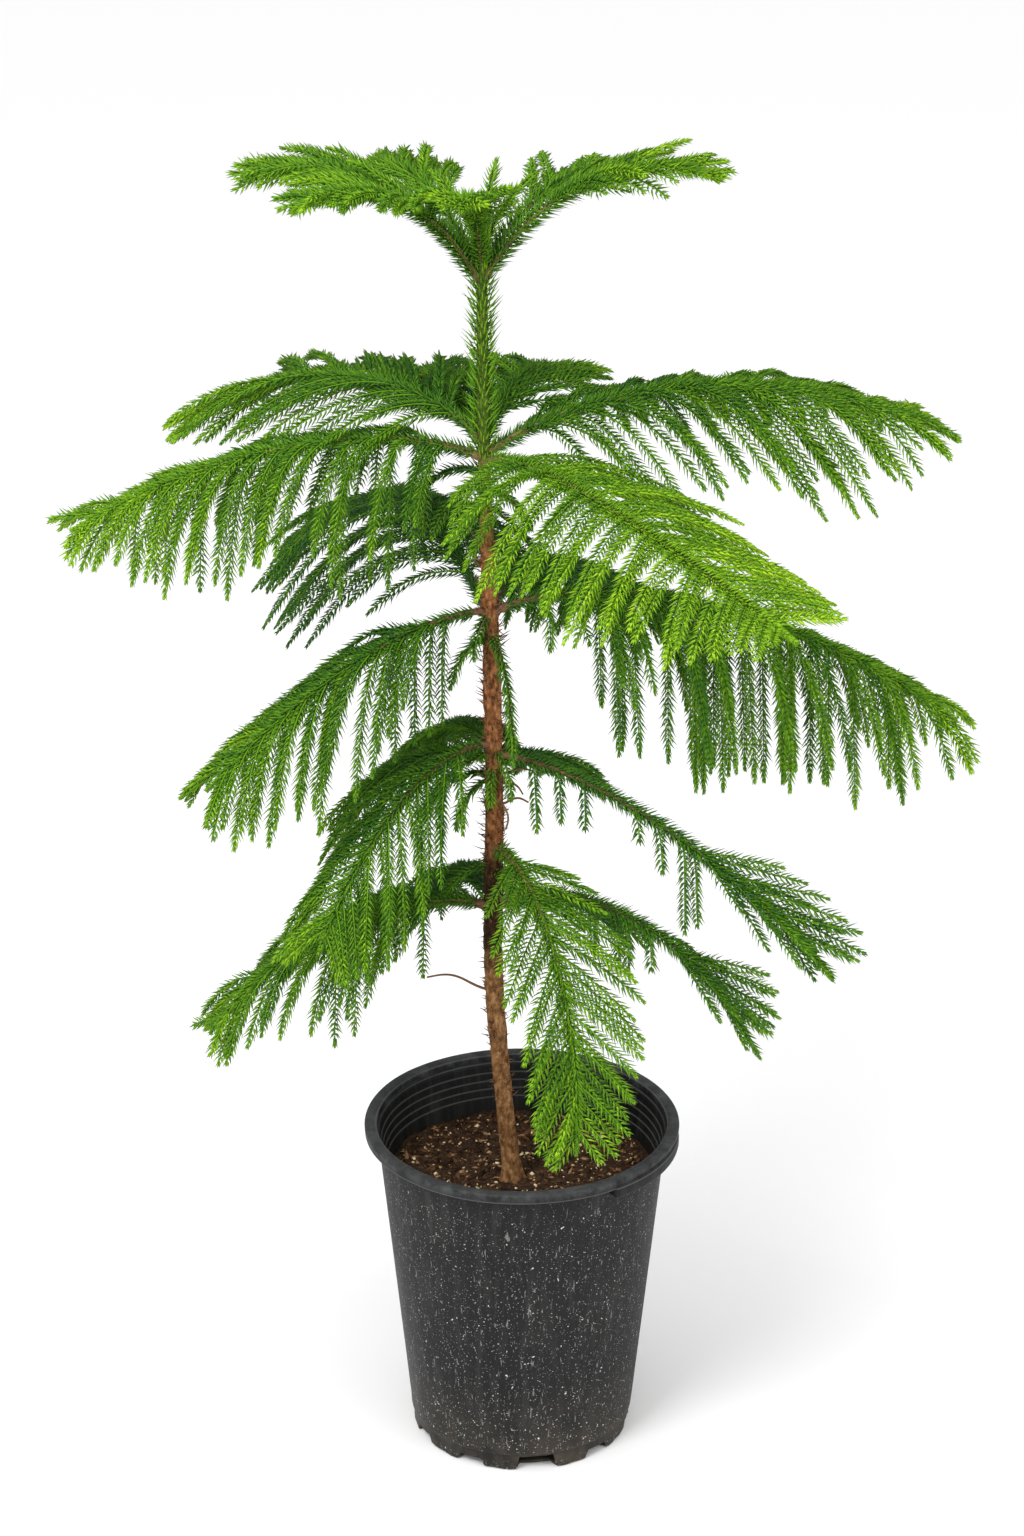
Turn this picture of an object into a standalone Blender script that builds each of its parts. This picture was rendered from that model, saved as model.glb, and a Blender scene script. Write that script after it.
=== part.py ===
# Norfolk Island pine in a nursery pot: trunk, tiers of boughs, masses of foliage, pot and soil.
# Metres, +Z up. The origin is the middle of the flat underside of the pot.
# The trunk is turned along a leaning line. Each bough leaves it in a vertical plane of its own and
# arches from its launch angle to its tip angle; past its bare foot it is the stem of a mass of foliage,
# whose sprays leave it to both sides and then hang. Each spray is one toothed blade.

import math

import bmesh
import bpy
import numpy as np
from mathutils import Vector
from mathutils.kdtree import KDTree

# Gap between pieces that touch
GAP = 0.0003

# Pot
POT_HEIGHT = 0.3026
RIM_RADIUS = 0.140
RIM_WIDTH = 0.0110
RIM_HEIGHT = 0.0090
WALL_TOP_RADIUS = 0.1285
WALL_FOOT_RADIUS = 0.1002
SKIRT_RADIUS = 0.0980
SKIRT_HEIGHT = 0.0170
WALL_THICKNESS = 0.0022
FLOOR_THICKNESS = 0.0030
POT_BEVEL = 0.0012
INNER_STEPS = 2
INNER_STEP_DROP = 0.0120
INNER_STEP_DEPTH = 0.0007
INNER_STEP_SLOPE = 0.0008
UNDER_RIM = 0.0005
FLOOR_SLOPE = 0.0009
POT_SIDES = 42
NOTCH_COUNT = 10
NOTCH_WIDTH = 0.024
NOTCH_HEIGHT = 0.0070
WIDE_NOTCH_EVERY = 5
WIDE_NOTCH_WIDTH = 0.034
WIDE_NOTCH_HEIGHT = 0.0130
NOTCH_DEPTH = 0.011
NOTCH_FIRST_AZIMUTH = -82.0
CUTTER_MARGIN = 0.010
GRIP_AZIMUTHS = (-30.0, 150.0)
GRIP_SPREAD = 48.0
GRIP_REACH = 0.0015
GRIP_THICKNESS = 0.0080
GRIP_STEPS = 7

# Soil
SOIL_TOP = 0.2540
SOIL_CLEARANCE = 0.0005
SOIL_CLEAR_OF_NOTCH = 0.0010
SOIL_ABOVE_NOTCH = 0.0020
SOIL_ABOVE_SKIRT = 0.0030
SOIL_SIDES = 32

# Trunk: its middle line from the soil to the tip, then its thickness
TRUNK_LINE = (
    (-0.0080, -0.0200, 0.2543),
    (-0.0170, -0.0190, 0.3500),
    (-0.0245, -0.0180, 0.4600),
    (-0.0238, -0.0180, 0.6200),
    (-0.0262, -0.0180, 0.7700),
    (-0.0315, -0.0180, 0.9250),
    (-0.0330, -0.0170, 1.0700),
    (-0.0345, -0.0170, 1.1330),
)
TRUNK_FOOT_RADIUS = 0.0078
TRUNK_TIP_RADIUS = 0.0042
FLARE_RADIUS = 0.0035
FLARE_HEIGHT = 0.022
FLARE_LOBES = 5
TRUNK_RINGS = 20
TRUNK_SIDES = 10

# Limbs
BOUGH_FOOT_RADIUS = 0.0042
BOUGH_TIP_RADIUS = 0.0022
THINNEST_LIMB = 0.0020
SLENDER = 0.45
LIMB_SIDES = 6
LIMB_RING_GAP = 0.030
STEM_SIDES = 4
STEM_RINGS = 6
STEM_SHORT_OF_TIP = 0.004
FINE = 400

# Sprays: one toothed blade stands for two or three branchlets
SPRAY_GAP = 0.028
SPRAY_HALF_WIDTH = 0.0140
SPRAY_WIDTH_PER_LENGTH = 0.28
SPRAY_THICKNESS = 0.0021
SPRAY_POINTS = 24
SPRAY_MARGIN = 0.009
TIP_SPRAY = (-0.014, 0.012)
TIP_SPRAY_HALF_WIDTH = 0.007
SPRAY_ROOT = 0.55
TOOTH_LENGTH = 0.036
TOOTH_NOTCH = 0.42
TOOTH_SWEEP = 0.80
DROOP_LENGTH = 0.055
SPRAY_LIFT = 0.16
SHORTEST_SPRAY = 0.022
CLEAR_OF_SPRAYS = 0.0060
CLEAR_OF_OWN = 0.0036
CLEAR_OF_TRUNK = 0.0130
CLEAR_OUTSIDE_RIM = 0.015
CLEAR_ABOVE_SOIL = 0.012
CLEAR_OF_RIM = 0.022
CLEAR_ABOVE_RIM = 0.008
CLEAR_OF_GREEN_TRUNK = 0.016
SPACE_STEP = 0.004

# Needles on the green part of the trunk
SLEEVE_FOOT = 0.955
SLEEVE_TOP = 1.062
SLEEVE_WALL = 0.0018
SLEEVE_SIDES = 8
NEEDLE_ROOT_SHARE = 0.62
NEEDLE_LENGTH = 0.019
NEEDLE_WIDTH = 0.0030
NEEDLE_RISE = 50.0
NEEDLES_ROUND = 5
NEEDLE_RINGS = 7
TUFT_RINGS = 3
TUFT_RADIUS = 0.0058
TUFT_HEIGHT = 0.013
TUFT_SIDES = 6
TUFT_ROOT_SHARE = 0.35
TUFT_NEEDLE_LENGTH = 0.014
TUFT_RISE = (28.0, 42.0)

# Boughs, bottom tier first. height: where the bough leaves the trunk; azimuth: degrees from +X
# counter-clockwise seen from above; launch and tip: degrees above level; ease: under 1 bends early;
# sweep: degrees the heading turns on its way; bare: length of the woody foot; spray: longest spray;
# hang: 0 holds its heading, 1 turns straight down; spread: degrees between spray and stem.
COLUMNS = ("height", "azimuth", "length", "launch", "tip", "ease", "sweep", "bare", "spray", "hang", "spread")
BOUGHS = {
    "tier1_front": (0.577, -65, 0.319, 14, -98, 0.77, -7, 0.030, 0.100, 0.30, 45),
    "tier1_right": (0.524, -21.5, 0.263, 36, -57, 0.71, 0, 0.165, 0.085, 0.15, 36),
    "tier1_back_right": (0.518, 42, 0.190, 0, -42, 0.80, 0, 0.030, 0.070, 0.70, 55),
    "tier1_back": (0.525, 105, 0.210, 12, -50, 0.80, 0, 0.030, 0.090, 0.80, 55),
    "tier1_back_left": (0.515, 150, 0.225, 15, -55, 0.80, 0, 0.030, 0.110, 0.80, 55),
    "tier1_left": (0.522, 189, 0.285, 16, -55, 0.83, 0, 0.050, 0.115, 0.80, 55),
    "tier2_right": (0.661, -31, 0.335, 28, -34, 0.32, 0, 0.200, 0.100, 0.10, 34),
    "tier2_back_right": (0.657, 58, 0.170, -8, -40, 0.80, 0, 0.030, 0.070, 0.70, 55),
    "tier2_back": (0.666, 110, 0.220, 18, -50, 0.60, 0, 0.030, 0.100, 0.80, 55),
    "tier2_back_left": (0.659, 160, 0.152, 20, -50, 0.60, 0, 0.030, 0.105, 0.80, 55),
    "tier2_left": (0.670, 222, 0.255, 46, -64, 0.38, 0, 0.035, 0.125, 0.80, 55),
    "tier3_right": (0.790, -4, 0.418, 42, -35, 0.43, 0, 0.070, 0.180, 0.90, 55),
    "tier3_back": (0.797, 62, 0.290, 35, -45, 0.50, 0, 0.050, 0.135, 0.80, 55),
    "tier3_back_left": (0.785, 114, 0.340, 32, -44, 1.20, 0, 0.050, 0.190, 0.65, 66),
    "tier3_left": (0.792, 203, 0.288, 31, -42, 0.30, 0, 0.049, 0.145, 0.80, 55),
    "tier4_right": (0.930, 14, 0.410, 34, -27.5, 0.755, 0, 0.030, 0.150, 0.60, 55),
    "tier4_back_right": (0.938, 72, 0.205, 39, -26, 0.74, 0, 0.025, 0.090, 0.45, 55),
    "tier4_back": (0.931, 106, 0.225, 37, -26, 0.74, 0, 0.025, 0.090, 0.45, 55),
    "tier4_back_left": (0.939, 152, 0.298, 60, -34, 0.50, 0, 0.030, 0.130, 0.50, 55),
    "tier4_left": (0.927, 193, 0.356, 37, -27, 0.50, 0, 0.030, 0.145, 0.85, 55),
    "tier4_front": (0.922, -60, 0.405, 68, -18, 0.18, 14, 0.040, 0.150, 0.50, 68),
    "tier5_right": (1.078, -7, 0.232, 58, -20, 1.40, 0, 0.0, 0.084, 0.50, 44),
    "tier5_back_right": (1.085, 46, 0.190, 48, -22, 1.20, 0, 0.0, 0.078, 0.50, 44),
    "tier5_back": (1.078, 125, 0.200, 53, -24, 1.20, 0, 0.0, 0.080, 0.50, 44),
    "tier5_left": (1.083, 177, 0.222, 54, -22, 1.40, 0, 0.0, 0.084, 0.50, 44),
    "tier5_front_left": (1.075, 212, 0.212, 60, -20, 1.40, 0, 0.0, 0.078, 0.50, 44),
    "tier5_front": (1.082, 262, 0.150, 72, -10, 1.40, 0, 0.0, 0.060, 0.45, 46),
}
# One thin twig with no side sprays that hangs down the trunk
HANGING_TWIG = dict(height=0.772, azimuth=288, length=0.125, launch=12, tip=-92, ease=0.50, sweep=0)
TWIG_STEM = 0.045
TWIG_BARE = 0.016
TWIG_HALF_WIDTH = 0.0085
TWIG_POINTS = 20

DOWN = np.array((0.0, 0.0, -1.0))
UP = -DOWN


def clear_scene():
    for obj in list(bpy.data.objects):
        bpy.data.objects.remove(obj, do_unlink=True)


def make_material(name, colour, roughness, metallic=0.0):
    material = bpy.data.materials.new(name)
    material.use_nodes = True
    shader = material.node_tree.nodes["Principled BSDF"]
    shader.inputs["Base Color"].default_value = (*colour, 1.0)
    shader.inputs["Roughness"].default_value = roughness
    shader.inputs["Metallic"].default_value = metallic
    return material


def mesh_object(name, points, faces, material, smooth=False):
    """An object whose faces all point outwards, in the scene's own collection."""
    mesh = bpy.data.meshes.new(name)
    mesh.from_pydata([tuple(point) for point in points], [], [tuple(face) for face in faces])
    shell = bmesh.new()
    shell.from_mesh(mesh)
    bmesh.ops.recalc_face_normals(shell, faces=shell.faces)
    shell.to_mesh(mesh)
    shell.free()
    mesh.materials.append(material)
    if smooth:
        mesh.shade_smooth()
    obj = bpy.data.objects.new(name, mesh)
    bpy.context.scene.collection.objects.link(obj)
    return obj


def unit(vectors):
    return vectors / np.linalg.norm(vectors, axis=-1, keepdims=True)


def smooth_line(points, count):
    """Catmull-Rom curve through the points: each stretch bends with the slope of its neighbours."""
    points = np.asarray(points, float)
    padded = np.vstack((2 * points[0] - points[1], points, 2 * points[-1] - points[-2]))
    places = np.linspace(0.0, len(points) - 1.0, count)
    first = np.minimum(places.astype(int), len(points) - 2)
    t = (places - first)[:, None]
    before, start, end, after = (padded[first + k] for k in range(4))
    return 0.5 * (
        2 * start
        + (end - before) * t
        + (2 * before - 5 * start + 4 * end - after) * t**2
        + (3 * start - before - 3 * end + after) * t**3
    )


TRUNK_CURVE = smooth_line(TRUNK_LINE, 200)


def trunk_at(height):
    return np.array([np.interp(height, TRUNK_CURVE[:, 2], TRUNK_CURVE[:, axis]) for axis in range(3)])


def trunk_radius(height):
    """Even taper from foot to tip, with a root flare that dies away above the soil."""
    foot = TRUNK_LINE[0][2]
    share = (height - foot) / (TRUNK_LINE[-1][2] - foot)
    taper = TRUNK_FOOT_RADIUS + (TRUNK_TIP_RADIUS - TRUNK_FOOT_RADIUS) * share**1.2
    return taper + FLARE_RADIUS * math.exp(-(height - foot) / FLARE_HEIGHT * 2.0)


def level_ring(sides):
    turn = np.linspace(0, 2 * math.pi, sides, endpoint=False)
    return np.stack((np.cos(turn), np.sin(turn), np.zeros(sides)), axis=1)


def across_frames(heading):
    """Two directions square to each heading along a path, without a twist from one to the next."""
    side = np.cross(heading[0], UP if abs(heading[0][2]) < 0.9 else np.array((1.0, 0.0, 0.0)))
    sides = []
    for direction in heading:
        side = unit(side - direction * np.dot(side, direction))
        sides.append(side)
    sides = np.array(sides)
    return sides, np.cross(sides, heading)


def tube(path, heading, radii, sides):
    """Closed tube: a ring of points square to the heading at each point, with a flat fan at each end."""
    side, rise = across_frames(heading)
    turn = np.linspace(0, 2 * math.pi, sides, endpoint=False)
    rings = path[:, None] + np.asarray(radii)[:, None, None] * (
        np.cos(turn)[None, :, None] * side[:, None] + np.sin(turn)[None, :, None] * rise[:, None]
    )
    return close_rings(rings)


def close_rings(rings):
    """Skins rings of points into one closed body with a fan at each end."""
    count, sides = rings.shape[:2]
    points = list(rings.reshape(-1, 3)) + [rings[0].mean(axis=0), rings[-1].mean(axis=0)]
    faces = []
    for ring in range(count - 1):
        for k in range(sides):
            after = (k + 1) % sides
            low, high = ring * sides, (ring + 1) * sides
            faces.append((low + k, low + after, high + after, high + k))
    foot, top = count * sides, count * sides + 1
    last = (count - 1) * sides
    for k in range(sides):
        after = (k + 1) % sides
        faces.append((foot, after, k))
        faces.append((top, last + k, last + after))
    return points, faces


def make_trunk(material):
    path = smooth_line(TRUNK_LINE, TRUNK_RINGS)
    # More rings where the root flare bends the outline
    foot = TRUNK_LINE[0][2]
    flare = np.array([trunk_at(foot + FLARE_HEIGHT * share) for share in (0.0, 0.25, 0.55, 1.0)])
    path = np.vstack((flare, path[path[:, 2] > foot + 1.3 * FLARE_HEIGHT]))
    turn = np.linspace(0, 2 * math.pi, TRUNK_SIDES, endpoint=False)
    rings = []
    for point in path:
        flared = math.exp(-(point[2] - foot) / FLARE_HEIGHT * 2.0)
        radius = trunk_radius(point[2]) * (1 + 0.14 * flared * np.cos(FLARE_LOBES * turn + 0.6))
        rings.append(point + radius[:, None] * level_ring(TRUNK_SIDES))
    points, faces = close_rings(np.array(rings))
    return mesh_object("trunk", points, faces, material, smooth=True)


def arch(row, count):
    """Line of a bough: the angle above level runs from launch to tip as share**ease."""
    share = np.linspace(0.0, 1.0, count)
    rise = np.radians(row["launch"] + (row["tip"] - row["launch"]) * share ** row["ease"])
    turn = np.radians(row["azimuth"] + row["sweep"] * share)
    heading = np.stack((np.cos(rise) * np.cos(turn), np.cos(rise) * np.sin(turn), np.sin(rise)), axis=1)
    steps = (heading[1:] + heading[:-1]) / 2 * row["length"] / (count - 1)
    line = np.vstack((np.zeros(3), np.cumsum(steps, axis=0))) + trunk_at(row["height"])
    side = np.stack((np.sin(turn), -np.cos(turn), np.zeros(count)), axis=1)
    return line, heading, side


class Bough:
    """A limb's line with lookups by distance along it."""

    def __init__(self, row):
        self.row = row
        self.line, self.heading, self.side = arch(row, FINE)
        self.distance = np.linspace(0.0, row["length"], FINE)
        self.foot = self.start_clear_of_trunk()

    def at(self, distance, what):
        return np.array([np.interp(distance, self.distance, what[:, axis]) for axis in range(3)])

    def point(self, distance):
        return self.at(distance, self.line)

    def radius(self, distance):
        share = distance / self.row["length"]
        size = SLENDER + (1.0 - SLENDER) * min(1.0, self.row["length"] / 0.40)
        taper = BOUGH_FOOT_RADIUS + (BOUGH_TIP_RADIUS - BOUGH_FOOT_RADIUS) * share**0.8
        return max(THINNEST_LIMB, size * taper)

    def start_clear_of_trunk(self):
        """Distance along the line where a square end clears the trunk."""
        height = self.row["height"]
        rise = math.radians(self.row["launch"])
        clear = trunk_radius(height) + GAP + self.radius(0.0) * abs(math.sin(rise)) * 1.05
        return clear / math.cos(rise)

    def points_along(self):
        return [self.point(place) for place in np.arange(self.foot, self.row["length"], SPACE_STEP)]

    def stretch(self, start, end, count):
        places = np.linspace(start, end, count)
        path = np.array([self.point(place) for place in places])
        heading = unit(np.array([self.at(place, self.heading) for place in places]))
        return path, heading, np.array([self.radius(place) for place in places])


def spray_length(row, share):
    """Sprays are full by an eighth of the way and shorten over the last third."""
    return row["spray"] * min(1.0, 0.55 + 3.0 * share) * (1.0 - 0.8 * share**3.2)


def spray_line(bough, root, distance, hand, length, count):
    """Leaves the stem forwards, sideways and a little up, then turns down as 1 - exp(-t / droop)."""
    row = bough.row
    heading = unit(bough.at(distance, bough.heading))
    side = unit(bough.at(distance, bough.side)) * hand
    share = distance / row["length"]
    spread = math.radians(row["spread"] - 10.0 * share)
    lift = np.cross(side, heading) * hand
    first = unit(math.cos(spread) * heading + math.sin(spread) * side + SPRAY_LIFT * lift)
    t = np.linspace(0.0, length, count)
    weight = (row["hang"] * (1.0 - np.exp(-t / DROOP_LENGTH)))[:, None]
    way = unit(first * (1.0 - weight) + DOWN * weight)
    steps = (way[1:] + way[:-1]) / 2 * length / (count - 1)
    line = np.vstack((np.zeros(3), np.cumsum(steps, axis=0))) + root
    across = unit(heading - way * (way @ heading)[:, None])
    return line, way, across


def blade(line, way, across, half_width, root_size):
    """Toothed blade with a ridge above and a flat underside, from a small root to a point."""
    teeth = max(2, round(np.linalg.norm(np.diff(line, axis=0), axis=1).sum() / TOOTH_LENGTH))
    places = np.linspace(0.0, 1.0, len(line))

    def pick(what, share):
        return np.array([np.interp(share, places, what[:, axis]) for axis in range(3)])

    points = []
    rows = []
    for k in range(teeth):
        share = k / teeth
        centre, wide = pick(line, share), unit(pick(across, share))
        normal = np.cross(wide, unit(pick(way, share)))
        notch = root_size if k == 0 else TOOTH_NOTCH * half_width * (1.0 - 0.4 * share)
        thick = min(root_size, SPRAY_THICKNESS / 2) if k == 0 else SPRAY_THICKNESS / 2
        tooth_share = (k + TOOTH_SWEEP) / teeth
        full = half_width * math.sin(math.pi * min(0.95, 0.30 + 0.55 * tooth_share))
        out, middle = unit(pick(across, tooth_share)), pick(line, tooth_share)
        rows.append(len(points))
        points += [
            centre + normal * thick,
            centre - wide * notch - normal * thick,
            centre + wide * notch - normal * thick,
            middle - out * full,
            middle + out * full,
        ]
    tip = len(points)
    points.append(line[-1])
    faces = [(0, 2, 1)]
    for k, start in enumerate(rows):
        ridge, left, right, tooth_left, tooth_right = range(start, start + 5)
        if k + 1 < teeth:
            next_ridge, next_left, next_right = range(rows[k + 1], rows[k + 1] + 3)
            faces += [
                (next_ridge, tooth_left, next_left),
                (next_ridge, next_right, tooth_right),
                (left, right, next_right, next_left),
            ]
        else:
            next_ridge = next_left = next_right = tip
            faces.append((left, right, tip))
        faces += [
            (ridge, left, tooth_left),
            (ridge, tooth_left, next_ridge),
            (ridge, tooth_right, right),
            (ridge, next_ridge, tooth_right),
            (left, next_left, tooth_left),
            (right, tooth_right, next_right),
        ]
    return points, faces


def blade_samples(line, across, half_width):
    """Points all over a blade, for testing what it would touch."""
    reach = np.linspace(-half_width, half_width, 7)
    return (line[:, None] + across[:, None] * reach[None, :, None]).reshape(-1, 3)


class Space:
    """What is already taken, each point with its owner, so that each mass keeps to its own space."""

    def __init__(self):
        self.points = []
        self.owners = []
        self.tree = None

    def add(self, points, owner):
        self.points += [Vector(point) for point in points]
        self.owners += [owner] * len(points)

    def settle(self):
        self.tree = KDTree(len(self.points))
        for index, point in enumerate(self.points):
            self.tree.insert(point, index)
        self.tree.balance()

    def free(self, points, owner, clearance):
        for point in points:
            for _, index, _ in self.tree.find_range(Vector(point), clearance):
                if self.owners[index] != owner:
                    return False
        return True


def clear_of_trunk(points):
    for point in points:
        inside = TRUNK_LINE[0][2] < point[2] < TRUNK_LINE[-1][2] + CLEAR_OF_TRUNK
        if inside and np.linalg.norm(point[:2] - trunk_at(point[2])[:2]) < CLEAR_OF_TRUNK:
            return False
    return True


def clear_of_pot(points):
    """Nothing reaches the pot, its rim or the soil."""
    radius = np.linalg.norm(points[:, :2], axis=1)
    over_soil = (radius < RIM_RADIUS + CLEAR_OUTSIDE_RIM) & (points[:, 2] < SOIL_TOP + CLEAR_ABOVE_SOIL)
    by_rim = (abs(radius - RIM_RADIUS) < CLEAR_OF_RIM) & (points[:, 2] < POT_HEIGHT + CLEAR_ABOVE_RIM)
    return not (over_soil.any() or by_rim.any())


def fuse(name, parts, material):
    """One Boolean union of the parts, applied; the loose parts are then removed."""
    loose = bpy.data.collections.new(name + "_parts")
    bpy.context.scene.collection.children.link(loose)
    base = mesh_object(name, *parts[0], material)
    for index, (points, faces) in enumerate(parts[1:]):
        part = mesh_object(f"{name}_part{index}", points, faces, material)
        bpy.context.scene.collection.objects.unlink(part)
        loose.objects.link(part)
    union = base.modifiers.new("fuse", "BOOLEAN")
    union.operation = "UNION"
    union.operand_type = "COLLECTION"
    union.collection = loose
    for solver in ("EXACT", "MANIFOLD"):
        union.solver = solver
        bpy.context.view_layer.update()
        graph = bpy.context.evaluated_depsgraph_get()
        fused = bpy.data.meshes.new_from_object(base.evaluated_get(graph))
        if keep_largest_body(fused):
            break
    base.modifiers.clear()
    base.data = fused
    for part in list(loose.objects):
        bpy.data.objects.remove(part, do_unlink=True)
    bpy.data.collections.remove(loose)
    return base


def keep_largest_body(mesh):
    """Drops scraps cut loose from the largest body, and says whether that body is closed."""
    shell = bmesh.new()
    shell.from_mesh(mesh)
    left = set(shell.faces)
    bodies = []
    while left:
        body = {left.pop()}
        front = list(body)
        while front:
            face = front.pop()
            near = {other for edge in face.edges for other in edge.link_faces} & left
            left -= near
            body |= near
            front += near
        bodies.append(body)
    largest = max(bodies, key=lambda body: sum(face.calc_area() for face in body))
    loose = [face for body in bodies if body is not largest for face in body]
    bmesh.ops.delete(shell, geom=loose, context="FACES")
    closed = all(edge.is_manifold for edge in shell.edges)
    shell.to_mesh(mesh)
    shell.free()
    return closed


def make_bough(name, bough, material):
    """Woody foot of a limb, from the trunk to the start of its foliage."""
    bare = bough.row["bare"]
    rings = max(4, round(bare / LIMB_RING_GAP))
    points, faces = tube(*bough.stretch(bough.foot, bare, rings), LIMB_SIDES)
    return mesh_object(name + "_bough", points, faces, material, smooth=True)


def stem_start(bough):
    return max(bough.row["bare"] + GAP, bough.foot)


def make_foliage(name, bough, space, material):
    row = bough.row
    start = stem_start(bough)
    end = row["length"] - STEM_SHORT_OF_TIP
    path, heading, radii = bough.stretch(start, end, STEM_RINGS)
    rings_at = np.linspace(start, end, STEM_RINGS)
    mass = Mass(name, space, [tube(path, heading, radii, STEM_SIDES)])
    tip = np.linspace(*TIP_SPRAY, 8)
    ends = path[-1] + tip[:, None] * heading[-1]
    way, across = np.tile(heading[-1], (len(tip), 1)), np.tile(bough.side[-1], (len(tip), 1))
    mass.try_spray(ends, way, across, TIP_SPRAY_HALF_WIDTH, radii[-1])

    run = row["length"] - start
    count = 2 * max(3, round(run / SPRAY_GAP))
    for place in range(count):
        distance = start + SPRAY_MARGIN + (run - 2 * SPRAY_MARGIN) * (place + 0.5) / count
        length = max(SHORTEST_SPRAY, spray_length(row, (distance - row["bare"]) / run))
        root = np.array([np.interp(distance, rings_at, path[:, axis]) for axis in range(3)])
        line, way, across = spray_line(bough, root, distance, 1 if place % 2 else -1, length, SPRAY_POINTS)
        half_width = min(SPRAY_HALF_WIDTH, SPRAY_WIDTH_PER_LENGTH * length)
        mass.try_spray(line, way, across, half_width, bough.radius(distance))
    space.add(np.vstack(mass.taken), name)
    return fuse(name + "_foliage", mass.parts, material)


class Mass:
    """The parts of one mass of foliage, as they are added."""

    def __init__(self, name, space, parts):
        self.name = name
        self.space = space
        self.parts = parts
        self.taken = []

    def try_spray(self, line, way, across, half_width, stem_radius):
        """Adds a spray unless it would leave its space, touch a limb or crowd one of its own mass."""
        samples = blade_samples(line, across, half_width)
        if not (clear_of_trunk(samples) and clear_of_pot(samples)):
            return
        if not self.space.free(samples, self.name, CLEAR_OF_SPRAYS):
            return
        past_root = blade_samples(line[len(line) // 4:], across[len(line) // 4:], half_width)
        for other in self.taken:
            apart = np.linalg.norm(past_root[:, None] - other[None], axis=2)
            if apart.min() < CLEAR_OF_OWN:
                return
        self.taken.append(past_root)
        self.parts.append(blade(line, way, across, half_width, SPRAY_ROOT * stem_radius))


def spike(root, way, length, width):
    """Needle with three sides: a small triangle at the root and a point at the tip."""
    side = unit(np.cross(way, UP + 0.01))
    rise = np.cross(side, way)
    turn = np.radians((90.0, 210.0, 330.0))
    ring = root + width / 2 * (np.cos(turn)[:, None] * side + np.sin(turn)[:, None] * rise)
    return [*ring, root + way * length], [(0, 1, 2), (0, 1, 3), (1, 2, 3), (2, 0, 3)]


def needle_ring(centre, radius, rise, phase, length):
    needles = []
    for k in range(NEEDLES_ROUND):
        turn = 2 * math.pi * (k + phase) / NEEDLES_ROUND
        level = np.array((math.cos(turn), math.sin(turn), 0.0))
        way = math.cos(rise) * level + math.sin(rise) * UP
        needles.append(spike(centre + radius * level, way, length, NEEDLE_WIDTH))
    return needles


def sleeve_bore(height):
    """Radius at the corners of the sleeve's inner wall, whose flat sides stand clear of the trunk too."""
    return (trunk_radius(height) + GAP) / math.cos(math.pi / SLEEVE_SIDES)


def make_sleeve(material):
    """Needles round the green trunk, carried by a thin sleeve that is clear of it."""
    heights = np.linspace(SLEEVE_FOOT, SLEEVE_TOP, 4)
    level = level_ring(SLEEVE_SIDES)
    inner = [trunk_at(height) + sleeve_bore(height) * level for height in heights]
    outer = [trunk_at(height) + (sleeve_bore(height) + SLEEVE_WALL) * level for height in heights]
    rings = np.array(outer + inner[::-1])
    points = rings.reshape(-1, 3)
    faces = []
    for ring in range(len(rings)):
        for k in range(SLEEVE_SIDES):
            after = (k + 1) % SLEEVE_SIDES
            low, high = ring * SLEEVE_SIDES, (ring + 1) % len(rings) * SLEEVE_SIDES
            faces.append((low + k, low + after, high + after, high + k))
    parts = [(points, faces)]
    span = SLEEVE_TOP - SLEEVE_FOOT
    for ring in range(NEEDLE_RINGS):
        height = SLEEVE_FOOT + span * (ring + 0.5) / NEEDLE_RINGS
        middle = sleeve_bore(height) + SLEEVE_WALL * NEEDLE_ROOT_SHARE
        parts += needle_ring(
            trunk_at(height), middle, math.radians(NEEDLE_RISE), 0.5 * (ring % 2), NEEDLE_LENGTH
        )
    return fuse("trunk_needles", parts, material)


def make_tuft(material):
    """Closed bud of needles that sits on the tip of the trunk."""
    foot = np.array(TRUNK_LINE[-1]) + GAP * UP
    path = foot + np.linspace(0.0, TUFT_HEIGHT, 3)[:, None] * UP
    radii = (TUFT_RADIUS * 0.8, TUFT_RADIUS, TUFT_RADIUS * 0.5)
    parts = [tube(path, np.tile(UP, (3, 1)), radii, TUFT_SIDES)]
    for ring in range(TUFT_RINGS):
        share = (ring + 0.4) / TUFT_RINGS
        rise = math.radians(TUFT_RISE[0] + TUFT_RISE[1] * share)
        centre = foot + TUFT_HEIGHT * share * UP
        parts += needle_ring(
            centre, TUFT_RADIUS * TUFT_ROOT_SHARE, rise, 0.5 * (ring % 2), TUFT_NEEDLE_LENGTH
        )
    return fuse("leader_tuft", parts, material)


def make_hanging_twig(bough, space, material):
    """A lone twig: a toothed blade along its whole length on a short stem."""
    start = bough.foot + GAP
    parts = [tube(*bough.stretch(start, TWIG_STEM, STEM_RINGS), STEM_SIDES)]
    places = np.linspace(start + TWIG_BARE, bough.row["length"], TWIG_POINTS)
    line = np.array([bough.point(place) for place in places])
    way = unit(np.array([bough.at(place, bough.heading) for place in places]))
    across = unit(np.array([bough.at(place, bough.side) for place in places]))
    parts.append(blade(line, way, across, TWIG_HALF_WIDTH, SPRAY_ROOT * THINNEST_LIMB))
    space.add(blade_samples(line, across, TWIG_HALF_WIDTH), "hanging_twig")
    return fuse("hanging_twig", parts, material)


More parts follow.
